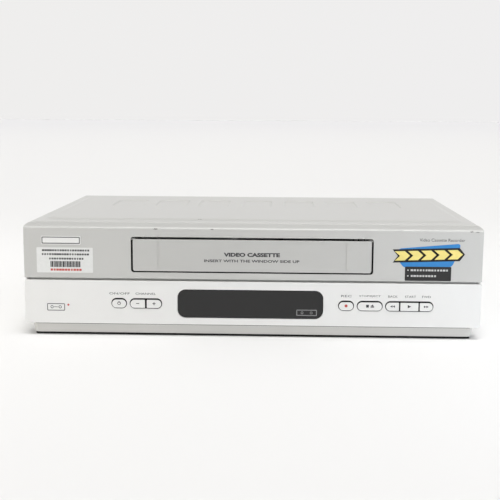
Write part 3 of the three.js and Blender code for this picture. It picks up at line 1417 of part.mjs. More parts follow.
function soundHeadStack() {
  const [width, depth, height] = soundHead.block;
  const bottom = soundHead.blockBottom - deck.top;
  const base = block(around(0, soundHead.base[0]), around(0, soundHead.base[1]), [0, soundHead.footHeight]);
  const post = rod("z", [0, 0], soundHead.post, [0, bottom + gap.overrun]);
  const plate = block(around(0, soundHead.base[0]), around(0, soundHead.base[1]), [bottom - soundHead.footHeight, bottom]);
  const head = slab(
    "z",
    roundedOutline(around(0, width), around(0, depth), [depth / 3, depth / 3, 0, 0]),
    [bottom - gap.overrun, bottom + height],
  );
  return join(base, post, plate, head);
}

function mainsBoard() {
  const plate = block([-boardOuter, -boardInner], [mains.boardFront, boardRear], [mains.boardZ, boardTop]);
  const { capacitor, sink } = mains;
  const { x, y } = onMains(capacitor);
  const can = rod("z", [x, y], capacitor.radius, [mains.boardZ, boardTop + capacitor.height]);
  const finSpan = around(sinkPlace.y, sink.length);
  const spine = block(around(sinkPlace.x, sink.base), finSpan, [mains.boardZ, boardTop + sink.height]);
  const fins = Array.from({ length: sink.count }, (_, i) => {
    const finY = finSpan[0] + sink.fin / 2 + (i * (sink.length - sink.fin)) / (sink.count - 1);
    const across = [sinkPlace.x - sink.finReach, sinkPlace.x];
    return block(across, around(finY, sink.fin), [boardTop + sink.base, boardTop + sink.height]);
  });
  return join(plate, can, spine, fins);
}

// Chopper transformer: an E core around a wound bobbin
function transformer() {
  const { width, length, height, core, bobbin } = mains.transformer;
  const base = block(around(0, width), around(0, length), [0, bobbin]);
  const ringSpan = around(0, core * 1.5);
  const ring = cut(
    block(around(0, width), ringSpan, [bobbin - gap.overrun, height]),
    block(around(0, width - 2 * core * 0.75), grown(ringSpan, gap.overrun), [bobbin, height - core * 0.75]),
  );
  const winding = rod("z", [0, 0], (width - 2 * core) / 2, [bobbin - gap.overrun, height - core / 2]);
  return join(base, ring, winding);
}

function signalBoard() {
  const z = [signal.boardZ, boardTop];
  const plate = block([boardInner, boardOuter], [signal.boardFront, boardRear], z);
  const stripLeft = boardInner - signal.stripReach;
  const strip = block([stripLeft, boardInner + gap.overrun], [deck.rear + signal.stripSetback, boardRear], z);
  const chips = [signal.processor, signal.decoder, signal.amplifier].map(onSignal).map(({ x, y }) =>
    block(around(x, signal.chip.size), around(y, signal.chip.size), [signal.boardZ, boardTop + signal.chip.height]),
  );
  const cans = [signal.frontCan, signal.middleCan, signal.rearCan].map(onSignal).map(({ x, y }) =>
    rod("z", [x, y], signal.can.radius, [signal.boardZ, boardTop + signal.can.height]),
  );
  return join(plate, strip, chips, cans);
}

// Screened tuner can with an aerial inlet and outlet, whose collars stand out of the rear panel
function tunerCan() {
  const top = tunerBottom + tuner.height;
  const across = around(tunerX, tuner.width);
  const can = block(across, [tunerRear - tuner.length, tunerRear], [tunerBottom, top]);
  const step = block(
    grown(across, -tuner.wall),
    [tunerRear - tuner.length + tuner.wall, tunerRear - tuner.wall],
    [top - gap.overrun, top + tuner.wall],
  );
  const { radius, bore, pin, innerDepth } = tuner.socket;
  const collars = aerialHeights.map((z) => rod("y", [tunerX, z], radius, [tunerRear - tuner.wall, socketRear]));
  const bores = aerialHeights.map((z) =>
    rod("y", [tunerX, z], bore, [tunerRear - innerDepth / 2, socketRear + gap.overrun]),
  );
  const pins = aerialHeights.map((z) =>
    rod("y", [tunerX, z], pin, [tunerRear - innerDepth / 2 - gap.overrun, socketRear - gap.overrun], round.bore),
  );
  return join(cut(join(can, step, collars), bores), pins);
}

// Pair of 21-way sockets, one above the other, in a common frame that stands on the board
function scartSockets() {
  const rear = coverRear;
  const frameFront = rear - scart.depth;
  const frameRear = rearPanelFront - gap.fit;
  const bottom = boardTop + gap.fit;
  const top = scart.upperZ + scart.height + scart.web / 2;
  const frame = block(around(scart.x, scart.width), [frameFront, frameRear], [bottom, top]);
  const mouthOutline = (z, grow) => {
    const half = scart.mouthWidth / 2 + grow;
    const low = z + (scart.height - scart.mouthHeight) / 2 - grow;
    const high = low + scart.mouthHeight + 2 * grow;
    return [
      new THREE.Vector2(scart.x - half + scart.slope, low),
      new THREE.Vector2(scart.x + half, low),
      new THREE.Vector2(scart.x + half, high),
      new THREE.Vector2(scart.x - half, high),
      new THREE.Vector2(scart.x - half, low + scart.slope),
    ];
  };
  const levels = [scart.lowerZ, scart.upperZ];
  const noses = levels.map((z) => slab("y", mouthOutline(z, scart.nose / 2), [frameRear - gap.overrun, rear]));
  const mouths = levels.map((z) => slab("y", mouthOutline(z, 0), [rear - scart.cavity, rear + gap.overrun]));
  const tongues = levels.map((z) => {
    const middle = z + scart.height / 2;
    const depth = [rear - scart.cavity - gap.overrun, rear - scart.cavity + scart.tongue.depth];
    return block(around(scart.x + scart.slope / 2, scart.tongue.width), depth, around(middle, scart.tongue.height));
  });
  return join(cut(join(frame, noses), mouths), tongues);
}

function audioSockets() {
  const frameRear = rearPanelFront - gap.fit;
  const bottom = boardTop + gap.fit;
  const width = phono.spacing + phono.body;
  const frame = block(
    around(phono.x, width),
    [frameRear - phono.depth, frameRear],
    [bottom, phono.z + phono.body / 2],
  );
  const centres = [-1, 1].map((side) => [phono.x + (side * phono.spacing) / 2, phono.z]);
  const rings = centres.map((c) => rod("y", c, phono.ring, [frameRear - gap.overrun, frameRear + phono.ringReach]));
  const bores = centres.map((c) =>
    rod("y", c, phono.pinBore, [frameRear - phono.depth / 2, frameRear + phono.ringReach + gap.overrun], round.bore),
  );
  return cut(join(frame, rings), bores);
}

function mainsInlet() {
  const { width, height, depth, nose, noseWidth, noseHeight, cavity, pin } = mains.inlet;
  const x = inletX;
  const rear = rearFace + nose;
  const frameRear = rearPanelFront - gap.fit;
  const bottom = boardTop + gap.fit;
  const middle = bottom + height / 2;
  const frame = block(around(x, width), [rear - depth, frameRear], [bottom, bottom + height]);
  const front = block(around(x, noseWidth), [frameRear - gap.overrun, rear], around(middle, noseHeight));
  const mouth = roundedOutline(
    around(x, noseWidth - nose * 1.5),
    around(middle, noseHeight - nose * 1.5),
    (noseHeight - nose * 1.5) / 2 - gap.fit,
  );
  const pins = [-1, 1].map((side) =>
    rod(
      "y",
      [x + (side * pin.spacing) / 2, middle],
      pin.radius,
      [rear - cavity - gap.overrun, rear - cavity + pin.length],
      round.bore,
    ),
  );
  return join(cut(join(frame, front), slab("y", mouth, [rear - cavity, rear + gap.overrun])), pins);
}

// Case
place(housing, "chassis_tray", chassisTray(), paint.trayGrey);
place(housing, "top_cover", topCover(), paint.coverSilver);
place(housing, "rear_panel", rearSheet(), paint.zinc);
for (const { name, x, y } of footPlaces) place(housing, name, rubberFoot(), paint.rubber, [x, y, 0]);

// Front
place(front, "front_bezel", frontBezel(), paint.silverGrey);
place(front, "control_panel", controlPanel(), paint.brightSilver);
place(front, "cassette_flap", cassetteFlap(), paint.silverGrey);
place(front, "display_window", displayWindow(), paint.smoked);
place(front, "display_tube", displayTube(), paint.glass);
place(front, "front_board", frontCircuitBoard(), paint.brownBoard);
for (const { name, centre, width, first, final } of keyPlaces()) {
  place(front, name, keyCap(width, first, final), paint.brightSilver, [centre, 0, key.rowZ]);
}

// Deck and cassette lift
place(transport, "deck_plate", deckPlate(), paint.zinc);
place(transport, "lift_bracket_right", liftBracket(), paint.zinc);
place(transport, "lift_bracket_left", liftBracket().mirror([1, 0, 0]), paint.zinc);
place(transport, "lift_slider_right", liftSlider(), paint.ivory);
place(transport, "lift_slider_left", liftSlider().mirror([1, 0, 0]), paint.ivory);
place(transport, "lift_shaft", liftShaft(), paint.ivory, [0, rackGear.pinionY, shaftZ]);
place(transport, "cassette_holder", cassetteHolder(), paint.zinc);

// Head drum
place(transport, "drum_base", drumBase(), paint.alloy, [0, drum.y, deck.top]);
const leaning = new THREE.Group();
leaning.position.set(0, drum.y, deck.top + drumSeat);
leaning.rotation.y = radians(drum.tilt);
transport.add(leaning);
place(leaning, "drum_lower", drumLower(), paint.alloy);
place(leaning, "drum_upper", drumUpper(), paint.steel, [0, 0, drum.lowerHeight + drum.gap]);

// Reel drive and capstan
for (const [name, side] of [["supply_reel", -1], ["takeup_reel", 1]]) {
  place(transport, name, reelTable(), paint.black, [(side * cassette.hubSpacing) / 2, hubY, reelSpinZ]);
}
place(transport, "capstan", capstanAssembly(), paint.steel, [capstan.x, capstan.y, 0]);
place(transport, "capstan_motor", capstanStator(), paint.greenBoard, [capstan.x, capstan.y, motor.bottom]);
place(transport, "reel_belt", reelBelt(), paint.rubber);
place(transport, "idler_pulley", idlerPulley(), paint.black, [0, idler.y, 0]);
place(transport, "idler_arm", idlerArm(), paint.zinc, [0, idler.y, deck.top + gap.fit]);
place(transport, "idler_wheel", idlerWheel(), paint.rubber, [0, idler.y + idlerReach, deck.top + idler.arm + 2 * gap.fit]);

// Tape threading
for (const [name, side] of [["guide_carriage_supply", -1], ["guide_carriage_takeup", 1]]) {
  const { start } = guideArc(side);
  place(transport, name, threadingGuide(side), paint.steel, [start.x, start.y, 0]);
}
const loadingZ = deck.top + gap.fit;
place(transport, "loading_gear", loadingGear(), paint.ivory, [loading.x, loading.y, loadingZ]);
place(transport, "loading_pinion", loadingPinion(), paint.ivory, [loading.x, loading.y - loadingDistance, loadingZ]);
const loadingMotorPlace = [loading.x, loading.y - loadingDistance, loading.motor.bottom];
place(transport, "loading_motor", loadingMotor(), paint.zinc, loadingMotorPlace);
place(transport, "pinch_arm", pinchArm(), paint.black, [pinch.pivotX, pinch.pivotY, deck.top + gap.fit]);
place(transport, "pinch_roller", pinchRoller(), paint.rubber, [pinch.rollerX, pinch.rollerY, pinch.roller.bottom]);
place(transport, "erase_head", eraseHeadPost(), paint.steel, [eraseHead.x, eraseHead.y, deck.top]);
place(transport, "sound_head", soundHeadStack(), paint.steel, [soundHead.x, soundHead.y, deck.top]);

// Electronics
place(electronics, "power_board", mainsBoard(), paint.brownBoard);
const transformerPlace = [onMains(mains.transformer).x, onMains(mains.transformer).y, boardTop + gap.fit];
place(electronics, "power_transformer", transformer(), paint.ferrite, transformerPlace);
place(electronics, "mains_inlet", mainsInlet(), paint.black);
place(electronics, "signal_board", signalBoard(), paint.greenBoard);
place(electronics, "tuner_can", tunerCan(), paint.zinc);
place(electronics, "scart_sockets", scartSockets(), paint.black);
place(electronics, "audio_sockets", audioSockets(), paint.black);

export default machine;
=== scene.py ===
# %% [markdown]
# # A video cassette recorder, dressed in Blender
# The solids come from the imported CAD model, in metres, with +Z up and the front facing -Y.
# This script gives them their finishes, and remakes the outer pieces with the soft edges
# and curves that a moulding or a folded sheet really has.
# Everything stays where the CAD puts it, so each piece can still move on its joint.

import math

import bmesh
import bpy
from mathutils import Matrix, Vector


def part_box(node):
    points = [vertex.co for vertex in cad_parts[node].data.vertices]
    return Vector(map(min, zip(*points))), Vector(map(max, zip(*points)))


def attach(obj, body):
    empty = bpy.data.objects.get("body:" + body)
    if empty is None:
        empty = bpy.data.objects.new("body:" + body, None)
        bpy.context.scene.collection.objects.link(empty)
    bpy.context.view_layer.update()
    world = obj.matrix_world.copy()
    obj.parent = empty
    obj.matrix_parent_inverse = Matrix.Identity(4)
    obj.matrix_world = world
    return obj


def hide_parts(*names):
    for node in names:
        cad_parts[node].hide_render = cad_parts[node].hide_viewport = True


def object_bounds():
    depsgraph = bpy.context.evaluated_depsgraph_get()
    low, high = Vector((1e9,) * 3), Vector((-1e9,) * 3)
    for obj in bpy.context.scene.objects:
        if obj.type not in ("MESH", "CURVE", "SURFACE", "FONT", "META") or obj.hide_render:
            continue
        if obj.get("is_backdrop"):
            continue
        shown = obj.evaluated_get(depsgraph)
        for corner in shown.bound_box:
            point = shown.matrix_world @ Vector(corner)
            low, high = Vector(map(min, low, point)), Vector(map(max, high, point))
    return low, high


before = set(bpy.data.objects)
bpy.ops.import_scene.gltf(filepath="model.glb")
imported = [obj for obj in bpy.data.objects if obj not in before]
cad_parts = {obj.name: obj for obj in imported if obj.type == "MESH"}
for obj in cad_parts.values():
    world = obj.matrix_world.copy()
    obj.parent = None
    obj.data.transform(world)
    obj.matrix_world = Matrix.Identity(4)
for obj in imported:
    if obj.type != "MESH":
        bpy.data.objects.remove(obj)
cad_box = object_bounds()
MM = 0.001
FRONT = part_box("control_panel")[0][1]

# %% [markdown]
# The camera comes first, because everything else is judged through it.
# Its place and lens were found by fitting the case's corners, the window and the door in the picture
# to the same points of the model. It looks slightly down, from a little right of the middle.
# Depths in this script are measured back from the flat front face, which is easier to think about.

# %% Camera at the picture's viewpoint
EYE = (21.23, -778.70, 191.40)
YAW, PITCH, ROLL = 0.029175, 0.149755, -0.005815
FOCAL_PIXELS, FRAME_PIXELS, SENSOR = 953.13, 500, 36.0


def at(x, depth, z):
    """A point given in millimetres, with its depth behind the front face."""
    return Vector((x * MM, FRONT + depth * MM, z * MM))


def placed(name, data):
    """A new object in the scene, at the origin."""
    thing = bpy.data.objects.new(name, data)
    bpy.context.scene.collection.objects.link(thing)
    return thing


def camera_turn(yaw, pitch, roll):
    ahead = Vector((-math.sin(yaw) * math.cos(pitch), math.cos(yaw) * math.cos(pitch), -math.sin(pitch)))
    level = Vector((math.cos(yaw), math.sin(yaw), 0))
    upright = level.cross(ahead)
    right = math.cos(roll) * level - math.sin(roll) * upright
    up = math.sin(roll) * level + math.cos(roll) * upright
    return Matrix((right, up, -ahead)).transposed()


lens = bpy.data.cameras.new("picture_camera")
lens.sensor_width = SENSOR
lens.lens = SENSOR * FOCAL_PIXELS / FRAME_PIXELS
camera = placed("picture_camera", lens)
camera.matrix_world = Matrix.Translation(at(*EYE)) @ camera_turn(YAW, PITCH, ROLL).to_4x4()
bpy.context.scene.camera = camera
print("camera at", [round(v, 3) for v in camera.location], "lens", round(lens.lens, 1))

# %% [markdown]
# Colours are written as the hex values that a paint program shows. Those are sRGB, and Blender's
# nodes want linear values, so one function turns every colour. A second small function adds
# a node and fills or links its inputs, which keeps each material short enough to read.
# The nodes that come back in every material get a function of their own.


# %% Colour and node helpers
def linear(hex_value):
    parts = [int(hex_value[i : i + 2], 16) / 255 for i in (0, 2, 4)]
    turned = [p / 12.92 if p <= 0.04045 else ((p + 0.055) / 1.055) ** 2.4 for p in parts]
    return (*turned, 1.0)


def add(tree, kind, inputs=None, **attributes):
    """Adds a node. An input gets a value, or a link where it is given another node's output."""
    node = tree.nodes.new(kind)
    for name, value in attributes.items():
        setattr(node, name, value)
    for name, value in (inputs or {}).items():
        if isinstance(value, bpy.types.NodeSocket):
            tree.links.new(value, node.inputs[name])
        else:
            node.inputs[name].default_value = value
    return node


print("silver grey is", [round(v, 3) for v in linear("C0C0BC")])


# %% Nodes that come back in most materials
def noise(tree, place, scale, detail):
    return add(tree, "ShaderNodeTexNoise", {"Vector": place, "Scale": scale, "Detail": detail}).outputs["Fac"]


def cells(tree, place, scale):
    return add(tree, "ShaderNodeTexVoronoi", {"Vector": place, "Scale": scale}).outputs["Distance"]


def arithmetic(tree, operation, first, second):
    return add(tree, "ShaderNodeMath", {0: first, 1: second}, operation=operation).outputs[0]


def ranged(tree, value, start, stop, low=0.0, high=1.0, kind="LINEAR"):
    """Turns values between start and stop into values between low and high."""
    inputs = {"Value": value, "From Min": start, "From Max": stop, "To Min": low, "To Max": high}
    return add(tree, "ShaderNodeMapRange", inputs, interpolation_type=kind).outputs[0]


def mixed(tree, factor, first, second):
    """Blends two colours. Each is a hex value or another node's output."""
    first, second = (linear(side) if isinstance(side, str) else side for side in (first, second))
    return add(tree, "ShaderNodeMix", {"Factor": factor, "A": first, "B": second}, data_type="RGBA").outputs[2]


def bumped(tree, height, strength, depth_mm):
    inputs = {"Height": height, "Strength": strength, "Distance": depth_mm * MM}
    return add(tree, "ShaderNodeBump", inputs).outputs[0]


def start_material(name):
    """An empty node material, its tree, and the object's own coordinates."""
    material = bpy.data.materials.new(name)
    material.use_nodes = True
    material.node_tree.nodes.clear()
    place = add(material.node_tree, "ShaderNodeTexCoord")
    return material, material.node_tree, place.outputs["Object"]


def finish_material(material, inputs):
    """The last step of each material: its shader, with these inputs, joined to the output."""
    shader = add(material.node_tree, "ShaderNodeBsdfPrincipled", inputs)
    add(material.node_tree, "ShaderNodeOutputMaterial", {"Surface": shader.outputs[0]})
    return material


# %% [markdown]
# The machine stands on a plain pale table under soft studio light. A wide floor takes the contact
# shadow, and far away it eases to the tone of the tent's low wall, so no horizon shows.
# The light is a white tent: a world that is brighter in front than behind, so that
# the case doesn't throw a wide shadow forward, with one round softbox overhead that gives
# every rounded edge its bright line. Two low lamps near the front corners lighten both ends of
# the front, the right one more and cooler, and two beside the case lighten the table there.

# %% Floor
FLOOR_HALF, NEAR_FLOOR, FAR_FLOOR = 12.0, 1.5, 11.0


def make_floor(half):
    mesh = bpy.data.meshes.new("table_top")
    corners = [(-half, -half, 0), (half, -half, 0), (half, half, 0), (-half, half, 0)]
    mesh.from_pydata(corners, [], [(0, 1, 2, 3)])
    material, tree, place = start_material("matt_white_paper_sweep")
    away = add(tree, "ShaderNodeVectorMath", {0: place}, operation="LENGTH").outputs["Value"]
    far = ranged(tree, away, NEAR_FLOOR, FAR_FLOOR, kind="SMOOTHSTEP")
    tone = mixed(tree, far, "E8E8E7", "E2E2E3")
    inputs = {"Base Color": tone, "Roughness": 0.9, "Specular IOR Level": 0.0}
    mesh.materials.append(finish_material(material, inputs))
    placed("table_top", mesh)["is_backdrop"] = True


make_floor(FLOOR_HALF)
print("floor made")

# %% White tent with a softbox
FRONT_TENT, BACK_TENT, SOFTBOX, SIDEWAYS = 0.66, 0.41, 11.5, 0.8
LOW_WALL, LOW_WALL_ENDS = linear("EFEFEE")[1], (0.34, 0.17)
SOFTBOX_AXIS = Vector((0.05, -0.14, 1.0)).normalized()
SOFTBOX_RIM, SOFTBOX_CORE = math.cos(math.radians(16)), math.cos(math.radians(9))
world = bpy.data.worlds.new("white_tent")
world.use_nodes = True
tent = world.node_tree
tent.nodes.clear()
look = add(tent, "ShaderNodeTexCoord").outputs["Generated"]
parts = add(tent, "ShaderNodeSeparateXYZ", {"Vector": look}).outputs
wall = ranged(tent, parts["Y"], -SIDEWAYS, SIDEWAYS, FRONT_TENT, BACK_TENT, "SMOOTHSTEP")
beam = add(tent, "ShaderNodeVectorMath", {0: look, 1: SOFTBOX_AXIS}, operation="DOT_PRODUCT").outputs["Value"]
box = ranged(tent, beam, SOFTBOX_RIM, SOFTBOX_CORE, 0.0, SOFTBOX, "SMOOTHSTEP")
low = ranged(tent, parts["Z"], *LOW_WALL_ENDS, 0.0, LOW_WALL, "SMOOTHSTEP")
total = arithmetic(tent, "ADD", arithmetic(tent, "MAXIMUM", wall, low), box)
tint = mixed(tent, ranged(tent, parts["X"], -SIDEWAYS, SIDEWAYS), "FFFEFC", "FFFEFF")
shine = add(tent, "ShaderNodeBackground", {"Color": tint, "Strength": total})
add(tent, "ShaderNodeOutputWorld", {"Surface": shine.outputs[0]})
bpy.context.scene.world = world
print("softbox", SOFTBOX, "tent", FRONT_TENT, BACK_TENT)

# %% Near lamps and colour display
SIDE_LAMP = ((0.62, 0.16, 0.3), (0.26, 0.14, 0.0), 0.3)
CORNER_LAMP = ((0.5, -0.36, 0.08), (0.18, 0.0, 0.07), 0.14)


def make_lamp(name, side, kind, watts, colour):
    """A square lamp on the left (side -1) or right (1). Its kind gives its place, its target and its size."""
    lamp = bpy.data.lights.new(name, "AREA")
    lamp.shape, lamp.size, lamp.energy = "SQUARE", kind[2], watts
    lamp.color = linear(colour)[:3]
    place, target = (Vector((side * x, y, z)) for x, y, z in kind[:2])
    holder = placed(name, lamp)
    holder.location = place
    holder.rotation_euler = (target - place).to_track_quat("-Z", "Y").to_euler()


make_lamp("lamp_left_side", -1, SIDE_LAMP, 0.3, "FFFCF6")
make_lamp("lamp_right_side", 1, SIDE_LAMP, 0.3, "FFFEFF")
make_lamp("lamp_left", -1, CORNER_LAMP, 0.26, "FFFAF2")
make_lamp("lamp_right", 1, CORNER_LAMP, 0.6, "E6F0FF")
bpy.context.scene.view_settings.view_transform = "Standard"
print("lamps", [lamp.name for lamp in bpy.data.lights])

# %% [markdown]
# The front, the flap and the keys are injection moulded plastic sprayed with silver lacquer.
# To the eye that is a pale grey with a soft sheen, a very fine sparkle where metal flakes lie
# at different angles, and slow changes of tone over a hand's width. The flakes are about
# 0.1 mm, too fine for the picture, so they are drawn at 0.35 mm. The steel cover has
# the same kind of finish, baked on, over a grain of about half a millimetre.

# %% Silver lacquer
DRIFT_SCALE, FLAKE_SHARE = 6.0, 0.35
CHIP_LONG, CHIP_EDGE, CHIP_STRENGTH, CHIP_RAGGED = 3, 0.25, 0.65, 900.0


def silver_lacquer(name, colour, shade, metallic, roughness, flake_mm, grain_mm, chips=(), coat=0.0):
    material, tree, place = start_material(name)
    drift = noise(tree, place, DRIFT_SCALE, 2.0)
    flakes = arithmetic(tree, "MULTIPLY", noise(tree, place, 1 / (flake_mm * MM), 1.0), FLAKE_SHARE)
    look = mixed(tree, arithmetic(tree, "ADD", flakes, drift), colour, shade)
    for *centre, reach in chips:
        look = chipped(tree, place, look, centre, reach)
    inputs = {"Base Color": look, "Metallic": metallic, "IOR": 1.5, "Coat Weight": coat, "Coat Roughness": 0.2}
    inputs["Roughness"] = ranged(tree, drift, 0, 1, roughness - 0.05, roughness + 0.06)
    inputs["Normal"] = bumped(tree, noise(tree, place, 1 / (grain_mm * MM), 3.0), 0.25, 0.04)
    return finish_material(material, inputs)


def chipped(tree, place, look, centre, reach):
    """Darkens a small ragged spot, longer than high, where the lacquer has been knocked off."""
    ragged = arithmetic(tree, "MULTIPLY", noise(tree, place, CHIP_RAGGED, 2.0), reach * MM)
    squeezed = add(tree, "ShaderNodeVectorMath", {0: place, 1: (1 / CHIP_LONG, 1, 1)}, operation="MULTIPLY")
    spot = at(*centre)
    spot.x /= CHIP_LONG
    away = add(tree, "ShaderNodeVectorMath", {0: squeezed.outputs[0], 1: tuple(spot)}, operation="DISTANCE")
    rim = arithmetic(tree, "SUBTRACT", away.outputs["Value"], ragged)
    return mixed(tree, ranged(tree, rim, 0.0, CHIP_EDGE * MM, CHIP_STRENGTH, 0.0), look, "55534E")


# %% Silver finishes of the case
EDGE_CHIPS = [(-80.0, 0.4, 90.6, 1.1), (-33.0, 0.4, 90.6, 0.9)]
EDGE_CHIPS += [(180.5, 0.4, 90.6, 1.0), (185.0, 0.4, 90.2, 0.9)]
COVER_CHIPS = [(-46.0, 36.0, 94.5, 1.1)]
grey_silver = silver_lacquer("silver_lacquer_on_abs", "BBBBB8", "C7C7C4", 0.12, 0.46, 0.35, 0.5, EDGE_CHIPS)
flap_silver = silver_lacquer("silver_lacquer_on_abs_flap", "B9B9B6", "C1C1BE", 0.12, 0.42, 0.35, 0.5)
bright_silver = silver_lacquer("bright_silver_lacquer_on_abs", "E1E1DF", "E7E7E5", 0.05, 0.4, 0.35, 0.5)
cover_silver = silver_lacquer(
    "silver_baked_enamel_on_steel", "C4C4C0", "CBCBC8", 0.1, 0.42, 0.5, 0.6, COVER_CHIPS, coat=0.4
)
print("lacquers", [m.name for m in (grey_silver, flap_silver, bright_silver, cover_silver)])

# %% [markdown]
# Every other solid is one of a few workshop materials. Moulded plastics differ in colour and
# sheen, and carry the fine spark-eroded texture of their mould. Plated sheet steel shows
# rolling lines and the large, faint crystals of the zinc. Turned alloy and ground steel
# are bright, with fine lines round the axis or along it. Each is made once and reused.


# %% Moulded plastic, rubber and glass
CLOUD_SCALE, CRYSTAL_SCALE = 25.0, 60.0


def moulded(name, colour, shade, roughness, grain_mm, strength=0.2):
    material, tree, place = start_material(name)
    cloud = noise(tree, place, CLOUD_SCALE, 3.0)
    inputs = {"Base Color": mixed(tree, cloud, colour, shade), "IOR": 1.5}
    inputs["Roughness"] = ranged(tree, cloud, 0, 1, roughness - 0.04, roughness + 0.05)
    inputs["Normal"] = bumped(tree, cells(tree, place, 1 / (grain_mm * MM)), strength, 0.03)
    return finish_material(material, inputs)


tray_grey = moulded("spark_textured_grey_abs", "C8C7C3", "CECDC9", 0.62, 0.5)
smoked = moulded("polished_smoked_acrylic", "101010", "141414", 0.1, 0.5, 0.02)
black_moulding = moulded("moulded_black_nylon", "1B1B1C", "232324", 0.5, 0.4)
acetal = moulded("moulded_natural_acetal", "E2DED2", "EAE6DB", 0.42, 0.5, 0.1)
rubber = moulded("moulded_black_rubber", "222222", "2A2A29", 0.85, 0.3, 0.35)
# Matt black for painted shade: it lines gaps that are only in shadow, so that they read dark.
painted_shade_black = moulded("matt_black_painted_shade", "0C0C0C", "131313", 0.95, 0.3, 0.4)
tube_glass = moulded("grey_display_glass", "4E5656", "596160", 0.12, 1.0, 0.02)
ferrite = moulded("ferrite_core_and_tape", "3A3B3C", "4A463A", 0.6, 0.6)
print("plastics made")


# %% Metals
def metal(name, colour, shade, roughness, line_mm, stretch):
    """Plated, rolled, turned or ground metal: noise stretched along one axis makes the lines."""
    material, tree, place = start_material(name)
    drawn = add(tree, "ShaderNodeMapping", {"Vector": place, "Scale": stretch}).outputs[0]
    lines = noise(tree, drawn, 1 / (line_mm * MM), 2.0)
    inputs = {"Base Color": mixed(tree, cells(tree, place, CRYSTAL_SCALE), colour, shade), "Metallic": 1.0}
    inputs["Roughness"] = ranged(tree, lines, 0, 1, roughness - 0.08, roughness + 0.1)
    inputs["Normal"] = bumped(tree, lines, 0.15, 0.02)
    return finish_material(material, inputs)


zinc_sheet = metal("zinc_plated_sheet_steel", "B4B6B8", "C6C8C9", 0.38, 0.8, (1, 0.08, 1))
tinned = metal("tinned_sheet_steel", "C4C4C0", "D0D0CC", 0.3, 0.6, (1, 0.1, 1))
drum_alloy = metal("turned_polished_aluminium", "D8DADC", "E4E6E8", 0.2, 0.3, (0.1, 0.1, 1))
ground_steel = metal("ground_stainless_steel", "C2C4C6", "D4D6D8", 0.18, 0.3, (1, 1, 0.1))
brass = metal("gold_flashed_brass", "C9A24E", "D9B765", 0.25, 0.3, (1, 0.1, 1))
print("metals made")


# %% Circuit boards
TRACK_SCALE, CASE_SCALE = 90.0, 40.0


def circuit_board(name, colours, axis, face_mm, way):
    """Lacquered laminate with copper tracks. What stands above its face, on the way given, is dark cases."""
    material, tree, place = start_material(name)
    lanes = add(tree, "ShaderNodeTexBrick", {"Vector": place, "Scale": TRACK_SCALE, "Mortar Size": 0.08})
    for socket, colour in zip(("Color1", "Color2", "Mortar"), colours):
        lanes.inputs[socket].default_value = linear(colour)
    height = add(tree, "ShaderNodeSeparateXYZ", {"Vector": place}).outputs[axis]
    above = ranged(tree, height, (face_mm + 0.05 * way) * MM, (face_mm + 0.15 * way) * MM)
    cased = mixed(tree, cells(tree, place, CASE_SCALE), "232426", "3C3A36")
    inputs = {"Base Color": mixed(tree, above, lanes.outputs["Color"], cased), "Roughness": 0.4, "IOR": 1.55}
    inputs["Normal"] = bumped(tree, lanes.outputs["Fac"], 0.3, 0.05)
    return finish_material(material, inputs)


GREEN, BROWN = ("2C6A3B", "317242", "3F8350"), ("8E6C3F", "987547", "A98654")
BOARD_FACE, MOTOR_FACE, FRONT_BOARD_FACE = 10.6, 7.8, FRONT / MM + 14.0
green_board = circuit_board("green_lacquered_fibreglass", GREEN, "Z", BOARD_FACE, 1)
motor_board = circuit_board("green_fibreglass_under_motor", GREEN, "Z", MOTOR_FACE, 1)
brown_board = circuit_board("phenolic_paper_laminate", BROWN, "Z", BOARD_FACE, 1)
switch_board = circuit_board("phenolic_paper_under_switches", BROWN, "Y", FRONT_BOARD_FACE, -1)
print("boards made")

# %% [markdown]
# Printing and labels are films a few hundredths of a millimetre thick. They are real pieces here,
# thin closed plates that sit on the surface, because a film of ink has a crisp edge and
# its own sheen. The inks are screen printed, so their colour is even, and only a
# little mottle and a slightly rough surface tell them from the lacquer below.


# %% Inks and label stock
MOTTLE_SCALE, DARKEST = 400.0, 0.88


def ink(name, colour, roughness=0.55):
    material, tree, place = start_material(name)
    dark = tuple(v * DARKEST for v in linear(colour)[:3]) + (1.0,)
    look = mixed(tree, noise(tree, place, MOTTLE_SCALE, 2.0), dark, colour)
    return finish_material(material, {"Base Color": look, "Roughness": roughness})


dark_ink = ink("screen_printed_charcoal_ink", "3A3A3C")
red_ink = ink("screen_printed_red_ink", "C4524A")
window_ink = ink("screen_printed_pale_grey_ink", "8E8E8E")
label_stock = ink("matt_paper_label", "E4E5E3", 0.7)
sticker_blue = ink("printed_vinyl_blue", "2D85CA", 0.35)
sticker_black = ink("printed_vinyl_black", "0D0C0B", 0.4)
sticker_yellow = ink("printed_vinyl_yellow", "F3E287", 0.35)
sticker_dark = ink("printed_vinyl_charcoal", "1E1E1D", 0.4)
sticker_pale = ink("printed_vinyl_pale_grey", "C8C8C6", 0.4)
print("inks made")

# %% [markdown]
# The outer pieces are built from flat outlines. An outline is given as points, thickened along one
# axis, and then cut by other thickened outlines, which is how a toolmaker thinks of a
# moulding too. At the end a bevel breaks every edge, because no moulded or pressed
# edge is truly sharp, and weighted normals keep the large faces flat in the light.


# %% Outlines
def rounded(x0, x1, z0, z1, radii, steps=8):
    """Corner points of a rounded rectangle, from the lower left, counter-clockwise."""
    r = radii if isinstance(radii, (list, tuple)) else (radii,) * 4
    corners = [(x0, z0, 1, 1, 2), (x1, z0, -1, 1, 3), (x1, z1, -1, -1, 0), (x0, z1, 1, -1, 1)]
    points = []
    for (x, z, sx, sz, quarter), radius in zip(corners, r):
        if radius == 0:
            points.append((x, z))
            continue
        for i in range(steps + 1):
            turn = (quarter + i / steps) * math.pi / 2
            across, up = radius * math.cos(turn), radius * math.sin(turn)
            points.append((x + sx * radius + across, z + sz * radius + up))
    return points


